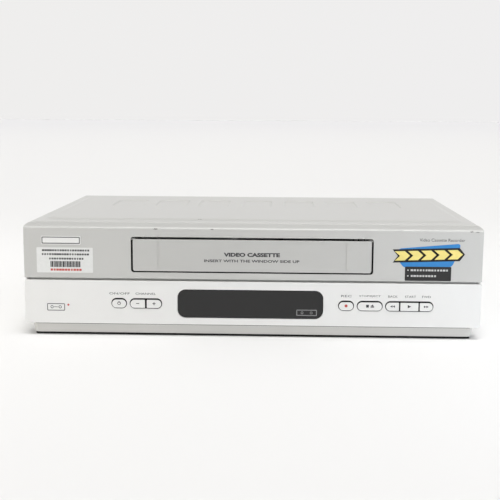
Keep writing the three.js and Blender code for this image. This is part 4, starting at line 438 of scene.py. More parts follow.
def disc(x, z, radius, steps=24):
    turns = [2 * math.pi * i / steps for i in range(steps)]
    return [(x + radius * math.cos(turn), z + radius * math.sin(turn)) for turn in turns]


def drawn_in(box, corner, inset):
    """A rounded rectangle drawn in on all sides, or grown where the inset is negative."""
    x0, x1, z0, z1 = box
    return rounded(x0 + inset, x1 - inset, z0 + inset, z1 - inset, corner - inset)


print("corner points", len(rounded(0, 1, 0, 1, 0.2)))


# %% Solids
def new_piece(name, bm):
    mesh = bpy.data.meshes.new(name)
    bmesh.ops.recalc_face_normals(bm, faces=bm.faces)
    bm.to_mesh(mesh)
    bm.free()
    return placed(name, mesh)


def skinned(name, rings, ends="open", around=True):
    """A mesh over rings of points, each joined to the next one. A ring may be a single point."""
    bm = bmesh.new()
    rows = [[bm.verts.new(point) for point in ring] for ring in rings]
    steps = max(len(row) for row in rows) - (not around)
    for lower, upper in zip(rows, rows[1:] + rows[:1] if ends == "joined" else rows[1:]):
        for i in range(steps):
            corners = ((lower, i), (lower, i + 1), (upper, i + 1), (upper, i))
            bm.faces.new(list(dict.fromkeys(row[k % len(row)] for row, k in corners)))
    if ends == "closed":
        bm.faces.new(rows[0])
        bm.faces.new(rows[-1])
    return new_piece(name, bm)


def thickened(name, outline, axis, low, high):
    """A closed solid: outline points run in x,z for axis 'depth', x,depth for 'z', depth,z for 'x'."""
    spots = {
        "depth": lambda a, b, t: at(a, t, b),
        "z": lambda a, b, t: at(a, b, t),
        "x": lambda a, b, t: at(t, a, b),
    }[axis]
    return skinned(name, [[spots(a, b, t) for a, b in outline] for t in (low, high)], "closed")


def brick(name, xs, depths, zs):
    return thickened(name, rounded(*xs, *zs, 0), "depth", *depths)


def pair(name, middle, half, depths, zs):
    """Two equal bricks, left and right of the machine's middle."""
    return [brick(name, (s * middle - half, s * middle + half), depths, zs) for s in (-1, 1)]


def band(outer, inner, near, far, name="band"):
    """A closed ring between two outlines with the same number of points, from one depth to another."""
    turns = ((outer, near), (inner, near), (inner, far), (outer, far))
    return skinned(name, [[at(x, depth, z) for x, z in outline] for outline, depth in turns], "joined")


def join_pieces(name, parts):
    bm = bmesh.new()
    for part in parts:
        bm.from_mesh(part.data)
        bpy.data.objects.remove(part)
    return new_piece(name, bm)


# %% Cutting, joining and softening
BEVEL_ANGLE, CREASE_ANGLE = math.radians(40), math.radians(35)


def bake(piece):
    """Turns the piece with its modifiers into a plain mesh."""
    shape = bpy.data.meshes.new_from_object(piece.evaluated_get(bpy.context.evaluated_depsgraph_get()))
    piece.modifiers.clear()
    piece.data = shape
    return piece


def worked(piece, operation, tools):
    for tool in tools:
        step = piece.modifiers.new(operation.lower(), "BOOLEAN")
        step.operation, step.object, step.solver = operation, tool, "EXACT"
        bake(piece)
        bpy.data.objects.remove(tool)
    return piece


def cut(piece, *tools):
    return worked(piece, "DIFFERENCE", tools)


def fused(piece, *tools):
    return worked(piece, "UNION", tools)


def smoothed(piece, crease=None):
    """Shades a piece as one curved surface, but sharp where its faces meet at more than the crease."""
    for face in piece.data.polygons:
        face.use_smooth = True
    if crease:
        piece.data.set_sharp_from_angle(angle=crease)
    return piece


def soften(piece, width, segments=2):
    edge = piece.modifiers.new("soft_edges", "BEVEL")
    edge.width, edge.segments, edge.use_clamp_overlap = width * MM, segments, True
    edge.limit_method, edge.angle_limit, edge.miter_outer = "ANGLE", BEVEL_ANGLE, "MITER_ARC"
    smoothed(bake(piece)).modifiers.new("flat_faces", "WEIGHTED_NORMAL").keep_sharp = True
    return bake(piece)


def dress(piece, material, body, slot, *nodes):
    """Gives a finished piece its material and body, and says which CAD nodes it stands for."""
    piece.data.materials.clear()
    piece.data.materials.append(material)
    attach(piece, body)
    if nodes:
        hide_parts(*nodes)
    print(piece.name, len(piece.data.polygons), "faces")


# %% [markdown]
# The upper bezel is one thin moulding. Seen from the side its face stands upright and then
# rolls back over a soft brow to meet the cover, and seen from the front its two
# shoulders are rounded. So it is cut from two outlines that cross: the brow's profile
# thickened across the machine, and the front view thickened backwards.

# %% Bezel outlines
bezel_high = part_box("front_bezel")[1]
HALF, BACK_Z, DEEP = bezel_high[0] / MM, bezel_high[2] / MM, 16.0
BROW_Z, SHOULDER = BACK_Z - 3.5, 3.2
GROOVE_TOP, WALL = 48.9, 2.4
DOOR, DOOR_CORNER = (-100.5, 100.4, 54.1, 83.9), 2.4


def bent(start, pull, end, steps):
    """Points of a smooth curve from start to end, drawn toward a third point."""
    curve = []
    for i in range(steps + 1):
        t = i / steps
        first, middle, last = (1 - t) ** 2, 2 * t * (1 - t), t * t
        curve.append(tuple(first * a + middle * b + last * c for a, b, c in zip(start, pull, end)))
    return curve


def brow(inset):
    """Profile of the bezel in depth and height: a tight nose, and then a long easy curve to the back."""
    bottom, top = GROOVE_TOP + (2.0 if inset else 0), BROW_Z - inset
    nose, crest, back = (inset, top - 0.5), (inset + 1.7, top + 1.2), (DEEP + inset / 2, top + 3.0)
    curve = bent(nose, (inset, top + 0.55), crest, 10) + bent(crest, (inset + 6.2, top + 2.85), back, 14)[1:]
    return [(inset, bottom), *curve, (DEEP + inset / 2, bottom)]


def bezel_body(name, inset):
    side, corner = HALF - inset, SHOULDER - inset
    body = thickened(name, brow(inset), "x", -side, side)
    shoulders = rounded(-side, side, GROOVE_TOP - 2, BACK_Z - inset, (0, 0, corner, corner), 12)
    return worked(body, "INTERSECT", [thickened("facing", shoulders, "depth", -3, 30)])


bezel = bezel_body("front_bezel_shell", 0)
open_floor = brick("open_floor", (-HALF + WALL, HALF - WALL), (7, 20), (47, 53))
cut(bezel, bezel_body("hollow", WALL), open_floor)
print("bezel shell", len(bezel.data.polygons))

# %% [markdown]
# Behind the door opening the moulding has a rim that hides the works and carries the flap's
# pivots. A lower frame drops behind the control panel, and a tongue slips under the
# front edge of the cover. They are added to the shell before its edges are broken.

# %% Door rim, frame and tongue of the bezel
FRAME_HOLES, SOFT_EDGE = ((-121, -70), (-66, 64), (68, 155)), 0.2
rim = brick("rim", (-102.6, 102.6), (1.2, 9), (52.7, 85.3))
cut(rim, brick("rim_hollow", DOOR[:2], (-1, 12), (DOOR[2], 87)))
tongue = thickened("tongue", rounded(-187.8, 187.8, 50, BACK_Z - 1.4, (0, 0, 0.8, 0.8)), "depth", 13.6, 21)
cut(tongue, brick("tongue_hollow", (-186.2, 186.2), (12, 23), (45, BACK_Z - 3.0)))
fused(bezel, rim, tongue)
cut(bezel, thickened("door", rounded(*DOOR, DOOR_CORNER), "depth", -1, 4))
frame_plate = brick("frame_plate", (-186.8, 186.8), (5, 7), (13.2, 50.4))
cut(frame_plate, *[brick("frame_hole", ends, (3, 9), (20, 36.5)) for ends in FRAME_HOLES])
fused(bezel, frame_plate)
soften(bezel, SOFT_EDGE)
dress(bezel, grey_silver, "housing", "silver_front", "front_bezel")

# %% [markdown]
# The flap is a flat moulding on two pivots, with stiffening ribs behind it and two shallow grooves
# down its face near the ends. It must keep an even dark gap of about a millimetre all
# round, because that thin shadow line is the strongest line of the whole front.

# %% Cassette flap
FLAP, FLAP_CORNER, FLAP_THICK = (-98.8, 98.8, 55.3, 82.05), 1.6, 2.2
PIVOT, PIN_RADIUS, PIN_ENDS = (2.2, 81.9), 1.0, (96.9, 101.5)
flap = thickened("cassette_flap_door", rounded(*FLAP, FLAP_CORNER), "depth", 0, FLAP_THICK)
cut(flap, *pair("groove", 77.5, 0.9, (-1, 0.35), (57.2, 80.8)))
ribs = pair("rib", 95.9, 0.7, (1.1, 3.8), (58.6, 76.4))
ribs.append(brick("rib_foot", (-95.9, 95.9), (1.1, 3.8), (57.1, 58.5)))
ribs += pair("boss", 96.9, 2, (1.1, 3.4), (80.2, 82.0))
for side in (-1, 1):
    ribs.append(thickened("pin", disc(*PIVOT, PIN_RADIUS, 16), "x", *sorted(side * end for end in PIN_ENDS)))
fused(flap, *ribs)
soften(flap, SOFT_EDGE)
dress(flap, flap_silver, "flap", "silver_front", "cassette_flap")

# %% [markdown]
# The control panel is a shallow tray of the same plastic in a brighter lacquer. Its top edge
# carries a small chamfer that catches the light as a bright line under the dark
# groove. Each group of keys shares one pill-shaped opening.

# %% Control panel
KEY_GROUPS = [
    (-117.4, {"key_standby": 13.2}),
    (-102.0, {"key_channel_down": 13.65, "key_channel_up": 13.65}),
    (72.0, {"key_record": 13.3}),
    (87.5, {"key_stop": 21.6}),
    (111.0, {"key_rewind": 12.05, "key_play": 16.05, "key_forward": 11.9}),
]
KEY_ROW, KEY_OPEN, THROUGH = 27.75, 8.9, (-1, 4)
KEY_LOW, KEY_HIGH = KEY_ROW - KEY_OPEN / 2, KEY_ROW + KEY_OPEN / 2


def pill(left, keys, inset=0.0):
    """Outline of the opening that a group of keys shares, drawn in by an inset."""
    right, corner = left + sum(keys.values()), KEY_OPEN / 2 - inset - 0.01
    return rounded(left + inset, right - inset, KEY_LOW + inset, KEY_HIGH - inset, corner, 10)


panel = thickened("control_panel_moulding", rounded(-HALF, HALF, 10.2, 47.0, (3, 3, 0.8, 0.8)), "depth", 0, 16)
hollows = (((2.4, 17), (11.8, 45.4)), ((3.2, 17), (44, 49)), ((12, 17), (9, 13)))
cut(panel, *[brick("inside", (-187.6, 187.6), depths, zs) for depths, zs in hollows])
openings = [thickened("window_hole", rounded(-61.9, 59.8, 15.9, 40.1, 7, 10), "depth", *THROUGH)]
openings += [thickened("key_hole", pill(left, keys), "depth", *THROUGH) for left, keys in KEY_GROUPS]
soften(panel, 0.4, 3)
cut(panel, *openings)
soften(panel, 0.12, 1)
dress(panel, bright_silver, "housing", "bright_panel", "control_panel")

# %% [markdown]
# The display window is a piece of smoked acrylic, polished, with a thin flange behind the panel.
# Switched off, it looks almost black and mirrors the room, so its gloss matters more
# than its colour. Its front edge is only slightly rounded.

# %% Display window
WINDOW_FACE, WINDOW_BACK = 0.2, 3.9
window = thickened(
    "smoked_window_lens", rounded(-61.6, 59.5, 16.2, 39.8, 6.7, 12), "depth", WINDOW_FACE, WINDOW_BACK
)
flange = thickened("flange", rounded(-63.4, 61.3, 14.4, 41.6, 8.5, 12), "depth", 2.7, WINDOW_BACK)
fused(window, flange)
soften(window, 0.25, 3)
dress(window, smoked, "housing", "smoked_window", "display_window")

# %% [markdown]
# The keys are small caps that share a row. Where two or three share an opening, only the outer
# ends are round and a dark slit divides them. Each cap has a flange that stops it
# from falling out and a stem that reaches its switch, so each travels straight in. The lacquer is
# sprayed from the front, so the skirt of a cap stays black, and that black skirt is also painted shade that
# darkens the gap round each key.

# %% Keys
KEY_GAP, TOP_GAP, KEY_FACE, KEY_BACK = 0.75, 1.35, -0.55, 3.7
HALF_SLITS = {1: 0, 2: 0.8, 3: 0.6}


def cap_outline(left, right, round_left, round_right, grow=0.0):
    low, high = KEY_LOW + KEY_GAP - grow, KEY_HIGH - TOP_GAP + grow
    end, corner = (high - low) / 2 - 0.01, 0.5 + grow
    ends = [end if is_round else corner for is_round in (round_left, round_right, round_right, round_left)]
    return rounded(left - grow, right + grow, low, high, ends, 10)


def key_cap(name, left, right, *round_ends):
    cap = thickened(name, cap_outline(left, right, *round_ends), "depth", KEY_FACE, KEY_BACK)
    middle = (left + right) / 2
    flange = brick("flange", (left, right), (2.7, KEY_BACK), (KEY_ROW - 5.2, KEY_ROW + 5.2))
    stem = brick("stem", (middle - 1.5, middle + 1.5), (2.7, 9), (KEY_ROW - 1.5, KEY_ROW + 1.5))
    return soften(fused(cap, flange, stem), 0.15)


# The black skirt of unsprayed plastic is also painted shade in the gap round the cap.
def key_shade_skirt(name, left, right, *round_ends):
    outer, inner = (cap_outline(left, right, *round_ends, grow) for grow in (0.03, -0.3))
    return band(outer, inner, 0.0, 2.65, name)


key_middle = {}
for left, keys in KEY_GROUPS:
    widths, half_slit = list(keys.values()), HALF_SLITS[len(keys)]
    for i, name in enumerate(keys):
        ends = (i == 0, i == len(keys) - 1)
        start = left + sum(widths[:i]) + (KEY_GAP if ends[0] else half_slit)
        stop = left + sum(widths[: i + 1]) - (KEY_GAP if ends[1] else half_slit)
        key_middle[name] = (start + stop) / 2
        cap = key_cap(name + "_cap", start, stop, *ends)
        dress(key_shade_skirt(name + "_skirt", start, stop, *ends), black_moulding, name, "black_plastic")
        dress(cap, bright_silver, name, "bright_panel", name)

# %% [markdown]
# Behind each gap of the front lies a matt black lining that is painted shade: on the walls of the door
# opening, on the flap's edges, round the keys and between them, under the panel's chin and under the tray's
# rim.
# It stands for the shade in these gaps, so that every gap reads as a crisp black line in pale plastic.
# Only the groove between bezel and panel is closed at its ends by silver moulding.

# %% Painted shade in the door opening and round the flap
# A black lining on the walls of the door opening is painted shade: it darkens the gap round the flap.
door_shade_lining = band(drawn_in(DOOR, DOOR_CORNER, 0.01), drawn_in(DOOR, DOOR_CORNER, 0.3), 0.5, 8.8, "door_felt")
cut(door_shade_lining, thickened("pin_hole", disc(*PIVOT, 1.25, 16), "x", -103, 103))
dress(door_shade_lining, painted_shade_black, "housing", "black_rubber")
# A black strip on the flap's edges is painted shade in the same gap.
flap_edges = [drawn_in(FLAP, FLAP_CORNER, inset) for inset in (-0.08, 0.4)]
dress(band(*flap_edges, 0.3, 2.1, "flap_edge_felt"), painted_shade_black, "flap", "black_rubber")

# %% Painted shade in the key openings, between the keys and under the panel, and the ends of the groove
CAP_PLAY, SLIT_HEIGHTS = 0.08, (KEY_ROW - 3.6, KEY_ROW + 3.0)
# Black linings in the key openings and between the keys are painted shade that darkens these gaps.
gap_shades = []
for left, keys in KEY_GROUPS:
    widths = list(keys.values())
    caps = cap_outline(left + KEY_GAP, left + sum(widths) - KEY_GAP, True, True, CAP_PLAY)
    gap_shades.append(band(pill(left, keys, 0.01), caps, 0.7, 2.38))
    gap_shades.append(band(pill(left, keys, -0.8), pill(left, keys, 0.6), 2.42, 2.68))
    half = HALF_SLITS[len(keys)] - CAP_PLAY
    for slit in [left + sum(widths[:i]) for i in range(1, len(widths))]:
        gap_shades.append(brick("slit_foam", (slit - half, slit + half), (0.7, 2.4), SLIT_HEIGHTS))
# The chin strip is painted shade: a dark line under the panel's lower edge.
gap_shades.append(brick("chin_foam", (-182, 182), (1.95, 2.28), (9.45, 10.15)))
dress(join_pieces("foam_seals", gap_shades), painted_shade_black, "housing", "black_rubber")
# A black strip under the tray's rim is painted shade: it darkens the gap between the machine and the table.
under = thickened("underside_foam", rounded(-182.8, 182.8, 3.5, 248.0, 3.0), "z", 0.3, 1.97)
cut(under, thickened("middle", rounded(-180.8, 180.8, 5.5, 246.0, 2.0), "z", 0, 3))
dress(under, painted_shade_black, "housing", "black_rubber")
groove_ends = [sorted((side * 187.45, side * 189.85)) for side in (-1, 1)]
ends = [brick("groove_end", xs, (5.0, 13.0), (47.05, GROOVE_TOP - 0.05)) for xs in groove_ends]
dress(join_pieces("groove_ends", ends), grey_silver, "housing", "silver_front")

# %% [markdown]
# The cover is one sheet of steel, 0.8 mm thick, folded down at both sides. Its top carries a large
# field pressed up by almost a millimetre and a row of shallow dishes that stop the sheet from
# drumming. Such pressings follow a simple rule, so the sheet is a grid of points whose
# height is worked out from the distance to each pressed outline. The grid is fine where
# the sheet bends and coarse where it is flat.

# %% Rule for the pressed top
cover_low, cover_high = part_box("top_cover")
COVER_HALF, COVER_LOW, RISE, SHEET, BEND = cover_high[0] / MM, cover_low[2] / MM, 0.8, 0.8, 2.0
COVER_TOP = cover_high[2] / MM - RISE
COVER_FRONT, COVER_BACK = (cover_low[1] - FRONT) / MM, (cover_high[1] - FRONT) / MM
SLOPE, WALL_RUN, DISH_DEEP, ROLL = 4.0, 1.8, 0.9, 0.6
SIDE_MARGIN, FRONT_MARGIN, BACK_MARGIN, FIELD_CORNER = 8, 17, 12, 12.0
FIELD_MIDDLE = (COVER_FRONT + FRONT_MARGIN + COVER_BACK - BACK_MARGIN) / 2
FIELD_HALF = (COVER_BACK - COVER_FRONT - (FRONT_MARGIN + BACK_MARGIN)) / 2
FIELD = (0.0, FIELD_MIDDLE, COVER_HALF - SIDE_MARGIN, FIELD_HALF, FIELD_CORNER)
DISH_PITCH, DISH_MIDDLE, DISH_WIDE, DISH_LONG, DISH_CORNER = 42.0, 171.0, 15.5, 31.0, 9.0
DISHES = [(DISH_PITCH * i, DISH_MIDDLE, DISH_WIDE, DISH_LONG, DISH_CORNER) for i in range(-3, 4)]


def inside(x, depth, shape):
    """Distance in from the edge of a rounded rectangle given by centre, half sizes and corner."""
    cx, cy, hx, hy, r = shape
    dx, dy = abs(x - cx) - (hx - r), abs(depth - cy) - (hy - r)
    return r - math.hypot(max(dx, 0), max(dy, 0)) - min(max(dx, dy), 0)


def ramp(distance, width):
    t = min(max(distance / width, 0), 1)
    return t * t * (3 - 2 * t)


def top_height(x, depth):
    height = COVER_TOP + RISE * ramp(inside(x, depth, FIELD), SLOPE)
    return height - DISH_DEEP * max(ramp(inside(x, depth, dish), WALL_RUN) for dish in DISHES)


print("field top at", round(top_height(0, 90), 2), "dish at", round(top_height(0, DISH_MIDDLE), 2))

# %% Grid of the cover
FLAT_STEP, SLOPE_STEP, CORNER_STEP, WALL_STEP, CLOSEST = 4.0, 0.9, 1.5, 0.3, 0.25


def spread(low, high, step):
    count = max(1, round((high - low) / step))
    return [low + (high - low) * i / count for i in range(count + 1)]


def graded(low, high, field, dishes):
    """Positions that are 4 mm apart, and closer at the field's slopes and the dishes' walls and corners."""
    spots = set(spread(low, high, FLAT_STEP))
    marks = [(field[0], field[0] + SLOPE, SLOPE_STEP), (field[1] - SLOPE, field[1], SLOPE_STEP)]
    for middle, half in dishes:
        for side in (-1, 1):
            edge = middle + side * half
            marks.append((*sorted((edge, edge - side * WALL_RUN)), WALL_STEP))
            marks.append((*sorted((edge, edge - side * DISH_CORNER)), CORNER_STEP))
    for start, end, step in marks:
        spots.update(spread(start, end, step))
    kept = [low]
    for spot in sorted(spots):
        if spot - kept[-1] > CLOSEST and (high - spot > CLOSEST or spot == high):
            kept.append(spot)
    return kept


def cover_section():
    """Points across the sheet from the bottom of the left side over to the right."""
    half = [(-COVER_HALF, z) for z in spread(COVER_LOW, COVER_TOP - BEND, 40)]
    for i in range(1, 8):
        turn = math.pi - i / 8 * math.pi / 2
        half.append((-COVER_HALF + BEND + BEND * math.cos(turn), COVER_TOP - BEND + BEND * math.sin(turn)))
    field, dishes = (-FIELD[2], FIELD[2]), [(dish[0], DISH_WIDE) for dish in DISHES]
    across = graded(-COVER_HALF + BEND, COVER_HALF - BEND, field, dishes)
    return half + [(x, None) for x in across] + [(-x, z) for x, z in reversed(half)]


print("points across the cover", len(cover_section()))


# %% Cover sheet
def cover_sheet():
    field, dishes = (FIELD_MIDDLE - FIELD_HALF, FIELD_MIDDLE + FIELD_HALF), [(DISH_MIDDLE, DISH_LONG)]
    lengthwise = spread(COVER_FRONT, COVER_FRONT + ROLL, 0.1)
    lengthwise += graded(COVER_FRONT + ROLL, COVER_BACK, field, dishes)[1:]
    section = cover_section()
    rows = [[at(x, d, top_height(x, d) if z is None else z) for x, z in section] for d in lengthwise]
    return skinned("steel_cover_sheet", rows, around=False)


cover = cover_sheet()
if sum(face.normal.z for face in cover.data.polygons) < 0:
    cover.data.flip_normals()
thick = cover.modifiers.new("sheet", "SOLIDIFY")
thick.thickness, thick.offset, thick.use_even_offset = SHEET * MM, -1, True
bake(cover)
for vertex in cover.data.vertices:
    away = ROLL - ((vertex.co.y - FRONT) / MM - COVER_FRONT)
    if away > 0 and vertex.co.z > (COVER_TOP - SHEET / 2) * MM:
        vertex.co.z -= (ROLL - math.sqrt(max(ROLL**2 - away**2, 0))) * MM
print("cover sheet", len(cover.data.polygons), "faces")

# %% [markdown]
# Slots, screws, feet and socket contacts repeat, so one Geometry Nodes tree places them: it takes
# a form and a set of points, turns each copy as its point says, and joins them.
# A tree like this can be given any small form, which is why it is made only once.
# Its helpers also serve the tree that prints rows of dashes further on.


# %% Helpers for Geometry Nodes trees
def group_tree(name, kinds):
    """A new tree with these named inputs and a finish. Returned with the outputs of its input node."""
    tree = bpy.data.node_groups.new(name, "GeometryNodeTree")
    tree.interface.new_socket("Geometry", in_out="OUTPUT", socket_type="NodeSocketGeometry")
    for label, kind in {"Geometry": "Geometry", **kinds, "Finish": "Material"}.items():
        tree.interface.new_socket(label, in_out="INPUT", socket_type="NodeSocket" + kind)
    return tree, add(tree, "NodeGroupInput").outputs


def copies_on_points(tree, finish, inputs):
    """Ends a tree: puts copies on its points, makes them real and gives them their finish."""
    copies = add(tree, "GeometryNodeInstanceOnPoints", inputs)
    real = add(tree, "GeometryNodeRealizeInstances", {"Geometry": copies.outputs[0]})
    coloured = add(tree, "GeometryNodeSetMaterial", {"Geometry": real.outputs[0], "Material": finish})
    add(tree, "NodeGroupOutput", {"Geometry": coloured.outputs[0]})
    return tree


def run_tree(piece, tree, values):
    """Runs a tree on a piece, with its named inputs set, and bakes the result."""
    step = piece.modifiers.new("repeat", "NODES")
    step.node_group = tree
    for socket in tree.interface.items_tree:
        if socket.in_out == "INPUT" and socket.name in values:
            step[socket.identifier] = values[socket.name]
    return bake(piece)


# %% Tree that repeats a form on points
def repeat_tree(name):
    tree, given = group_tree(name, {"Form": "Object", "Size": "Float"})
    form = add(tree, "GeometryNodeObjectInfo", {"Object": given["Form"]}).outputs["Geometry"]
    turn = add(tree, "GeometryNodeInputNamedAttribute", {"Name": "turn"}, data_type="FLOAT_VECTOR").outputs[0]
    inputs = {"Points": given["Geometry"], "Instance": form, "Rotation": turn, "Scale": given["Size"]}
    return copies_on_points(tree, given["Finish"], inputs)


REPEAT = repeat_tree("form_on_points")


def repeated(name, form, places, material, size=1.0):
    """Copies a form, drawn round the origin, to places given as (point, turn), and bakes the result."""
    mesh = bpy.data.meshes.new(name)
    mesh.from_pydata([tuple(point) for point, _ in places], [], [])
    turns = mesh.attributes.new("turn", "FLOAT_VECTOR", "POINT")
    for i, (_, turn) in enumerate(places):
        turns.data[i].vector = turn
    piece = run_tree(placed(name, mesh), REPEAT, {"Form": form, "Size": size, "Finish": material})
    bpy.data.objects.remove(form)
    return piece


print("inputs", [socket.name for socket in REPEAT.interface.items_tree if socket.in_out == "INPUT"])

# %% Air slots in the cover's sides
SLOT_SIZE, SLOT_PITCH, UNTURNED = (6, 3, 34), 9, (0, 0, 0)


def centred_box(name, *sizes):
    bm = bmesh.new()
    bmesh.ops.create_cube(bm, size=1.0)
    bmesh.ops.scale(bm, vec=[size * MM for size in sizes], verts=bm.verts)
    return new_piece(name, bm)


slot_places = [(at(s * COVER_HALF, 130 + SLOT_PITCH * i, 51), UNTURNED) for s in (-1, 1) for i in range(10)]
slots = repeated("slots", centred_box("slot", *SLOT_SIZE), slot_places, cover_silver)
cut(cover, slots)
lip = brick("lip", (-165, 165), (COVER_BACK - SHEET, COVER_BACK), (86.2, COVER_TOP - SHEET / 2))
fused(cover, lip)
dress(smoothed(cover, CREASE_ANGLE), cover_silver, "housing", "painted_cover", "top_cover")

# %% [markdown]
# The cover is held by pan-head screws low on its sides, and the rear sheet by more of them. A head
# is a turned dome with a cross-shaped recess. One is made with care and then repeated.
# The rubber feet are turned forms too, each with a plug that holds it in the tray.


# %% Turned forms
def turned(name, profile, steps=32):
    """A closed turned solid about z from (radius, height) pairs that start and end on the axis."""
    rings = []
    for radius, height in profile:
        circle = disc(0, 0, radius * MM, steps) if radius else [(0, 0)]
        rings.append([(x, y, height * MM) for x, y in circle])
    return skinned(name, rings)


# %% Screws
SHANK = [(0, -1.5), (1.4, -1.5), (1.4, 0)]
DOME = [(3.4, 0), (3.4, 0.25), (3.1, 0.6), (2.3, 0.85), (1.2, 0.95), (0, 0.97)]
RECESS, FLAT_TOP, REAR_FACE = (3.4, 0.7, 1.6), 0.95, 248.8
REAR_SCREWS = ((-178, 20), (-60, 18), (60, 18), (178, 20), (140, 78), (-20, 78))
head = turned("screw_head", SHANK + DOME, 24)
long, wide, deep = RECESS
cut(head, centred_box("bar", long, wide, deep), centred_box("bar", wide, long, deep))
for vertex in head.data.vertices:
    vertex.co.z = min(vertex.co.z, FLAT_TOP * MM)
side_places = [(at(s * COVER_HALF, d, 17), (0, s * math.pi / 2, 0)) for s in (-1, 1) for d in (44, 222)]
rear_places = [(at(x, REAR_FACE, z), (-math.pi / 2, 0, 0)) for x, z in REAR_SCREWS]
screws = repeated("cover_screws", head, side_places + rear_places, ground_steel)
dress(screws, ground_steel, "housing", "zinc_sheet")

# %% Rubber feet
FOOT_RING = [(0, 0.8), (6.2, 0.8), (6.5, 0), (10.4, 0), (10.85, 0.25), (11, 0.7), (11, 2)]
FOOT_PLUG = [(2.7, 2), (2.7, 5.4), (0, 5.4)]
feet_nodes = ["foot_front_left", "foot_front_right", "foot_rear_left", "foot_rear_right"]
feet_places = []
for node in feet_nodes:
    low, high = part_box(node)
    feet_places.append((((low[0] + high[0]) / 2, (low[1] + high[1]) / 2, 0), UNTURNED))
feet = repeated("rubber_feet", turned("foot", FOOT_RING + FOOT_PLUG, 40), feet_places, rubber)
dress(smoothed(feet, CREASE_ANGLE), rubber, "housing", "black_rubber", *feet_nodes)

# %% [markdown]
# Each 21-way socket has two rows of flat spring contacts on its tongue, 3.6 mm apart and set half
# a step from each other. They are gold-flashed and show as a row of bright dashes,
# which is what makes this kind of socket easy to know from behind.

# %% Socket contacts
CONTACTS, CONTACT_PITCH, SOCKET_X, SOCKET_HEIGHTS = 10, 3.6, 98.5, (28.5, 50.5)
contact_places = []
for z in SOCKET_HEIGHTS:
    for side in (1, -1):
        for i in range(CONTACTS):
            x = SOCKET_X + (i - (CONTACTS - 1) / 2) * CONTACT_PITCH + side * 0.9
            contact_places.append((at(x, 241.8, z + side * 1.35), UNTURNED))
contacts = repeated("socket_contacts", centred_box("contact", 1.5, 10, 0.3), contact_places, brass)
dress(contacts, brass, "housing", "head_metal")

# %% [markdown]
# Words and signs come next. Blender's own plain font stands for the small sans-serif legends, and each
# word is fitted to the width and height that it has on the machine. The words only say
# what a key does. A flat text curve is given a hair of thickness, made a mesh, stood upright and
# then put in its place, and all words in one ink on one body become one piece.

# %% Printing helpers
FILM = 0.03


def word(text, x0, x1, z0, z1, weight=0.0):
    """Text fitted between x0 and x1, z0 and z1, lying on the front face."""
    curve = bpy.data.curves.new("word", "FONT")
    curve.body, curve.extrude, curve.offset, curve.resolution_u = text, 0.5, weight, 3
    piece = placed("word", curve)
    shape = bpy.data.meshes.new_from_object(piece.evaluated_get(bpy.context.evaluated_depsgraph_get()))
    bpy.data.objects.remove(piece)
    low = [min(v.co[i] for v in shape.vertices) for i in range(3)]
    high = [max(v.co[i] for v in shape.vertices) for i in range(3)]
    for v in shape.vertices:
        along, up, out = ((v.co[i] - low[i]) / (high[i] - low[i]) for i in range(3))
        v.co = at(x0 + along * (x1 - x0), -out * FILM, z0 + up * (z1 - z0))
    bm = bmesh.new()
    bm.from_mesh(shape)
    bmesh.ops.remove_doubles(bm, verts=bm.verts, dist=0.002 * MM)
    return new_piece("word", bm)


def film(outline, depth=0.0, thickness=FILM):
    return thickened("film", outline, "depth", depth - thickness, depth)


def ring_film(outer, inner, depth=0.0):
    """A printed line that closes on itself, between two outlines."""
    return band(outer, inner, depth - FILM, depth)


def printed(name, parts, material, body="housing"):
    """Joins what is printed in one ink on one body."""
    dress(join_pieces(name, parts), material, body, "black_plastic")


print("film thickness", FILM, "mm")

# %% Legends over the keys and on the bezel
LEGENDS = [("ON/OFF", -118.9, -101.8), ("CHANNEL", -96.9, -79.9), ("REC", 74.5, 83.1)]
LEGENDS += [("STOP/EJECT", 89.4, 107.2), ("BACK", 113.4, 121.1), ("START", 127.2, 136.3)]
LEGENDS += [("FWD", 141.4, 148.5)]
legends = [word(*legend, 35.1, 36.9) for legend in LEGENDS]
legends.append(word("Video Cassette Recorder", 137.8, 175.0, 82.3, 84.9))
printed("panel_legends", legends, dark_ink)
printed("flap_legend", [word("VIDEO CASSETTE", -23.3, 23.3, 68.0, 71.4, 0.055)], dark_ink, "flap")
small = word("INSERT WITH THE WINDOW SIDE UP", -39.5, 39.5, 63.3, 65.6, 0.028)
printed("flap_small_legend", [small], dark_ink, "flap")


# %% Signs on the keys
def triangle(x, size, way=1):
    return [(x - way * size / 2, -size / 2), (x + way * size / 2, 0), (x - way * size / 2, size / 2)][::way]


def bar(x, z, width, height):
    return rounded(x - width / 2, x + width / 2, z - height / 2, z + height / 2, 0)


KEY_SIGNS = {
    "key_channel_down": [bar(0, 0, 2.6, 0.6)],
    "key_channel_up": [bar(0, 0, 2.6, 0.6), bar(0, -0.8, 0.6, 1.0), bar(0, 0.8, 0.6, 1.0)],
    "key_stop": [bar(-1.9, 0, 2.3, 2.3), [(0.6, -0.2), (3.6, -0.2), (2.1, 1.4)], bar(2.1, -0.8, 3.0, 0.7)],
    "key_rewind": [triangle(-1.0, 2.0, -1), triangle(1.0, 2.0, -1)],
    "key_play": [triangle(0, 2.8)],
    "key_forward": [triangle(-1.0, 2.0), triangle(1.0, 2.0)],
}
for name, outlines in KEY_SIGNS.items():
    moved = [[(key_middle[name] + x, KEY_ROW + z) for x, z in outline] for outline in outlines]
    printed(name + "_sign", [film(outline, KEY_FACE) for outline in moved], dark_ink, name)
on_x = key_middle["key_standby"]
ring = ring_film(disc(on_x, KEY_ROW, 1.45), disc(on_x, KEY_ROW, 1.0), KEY_FACE)
stroke = film(bar(on_x, KEY_ROW + 1.1, 0.45, 1.6), KEY_FACE - FILM / 2, FILM / 2)
printed("key_standby_sign", [ring, stroke], dark_ink, "key_standby")
record_dot = film(disc(key_middle["key_record"], KEY_ROW, 1.25), KEY_FACE)
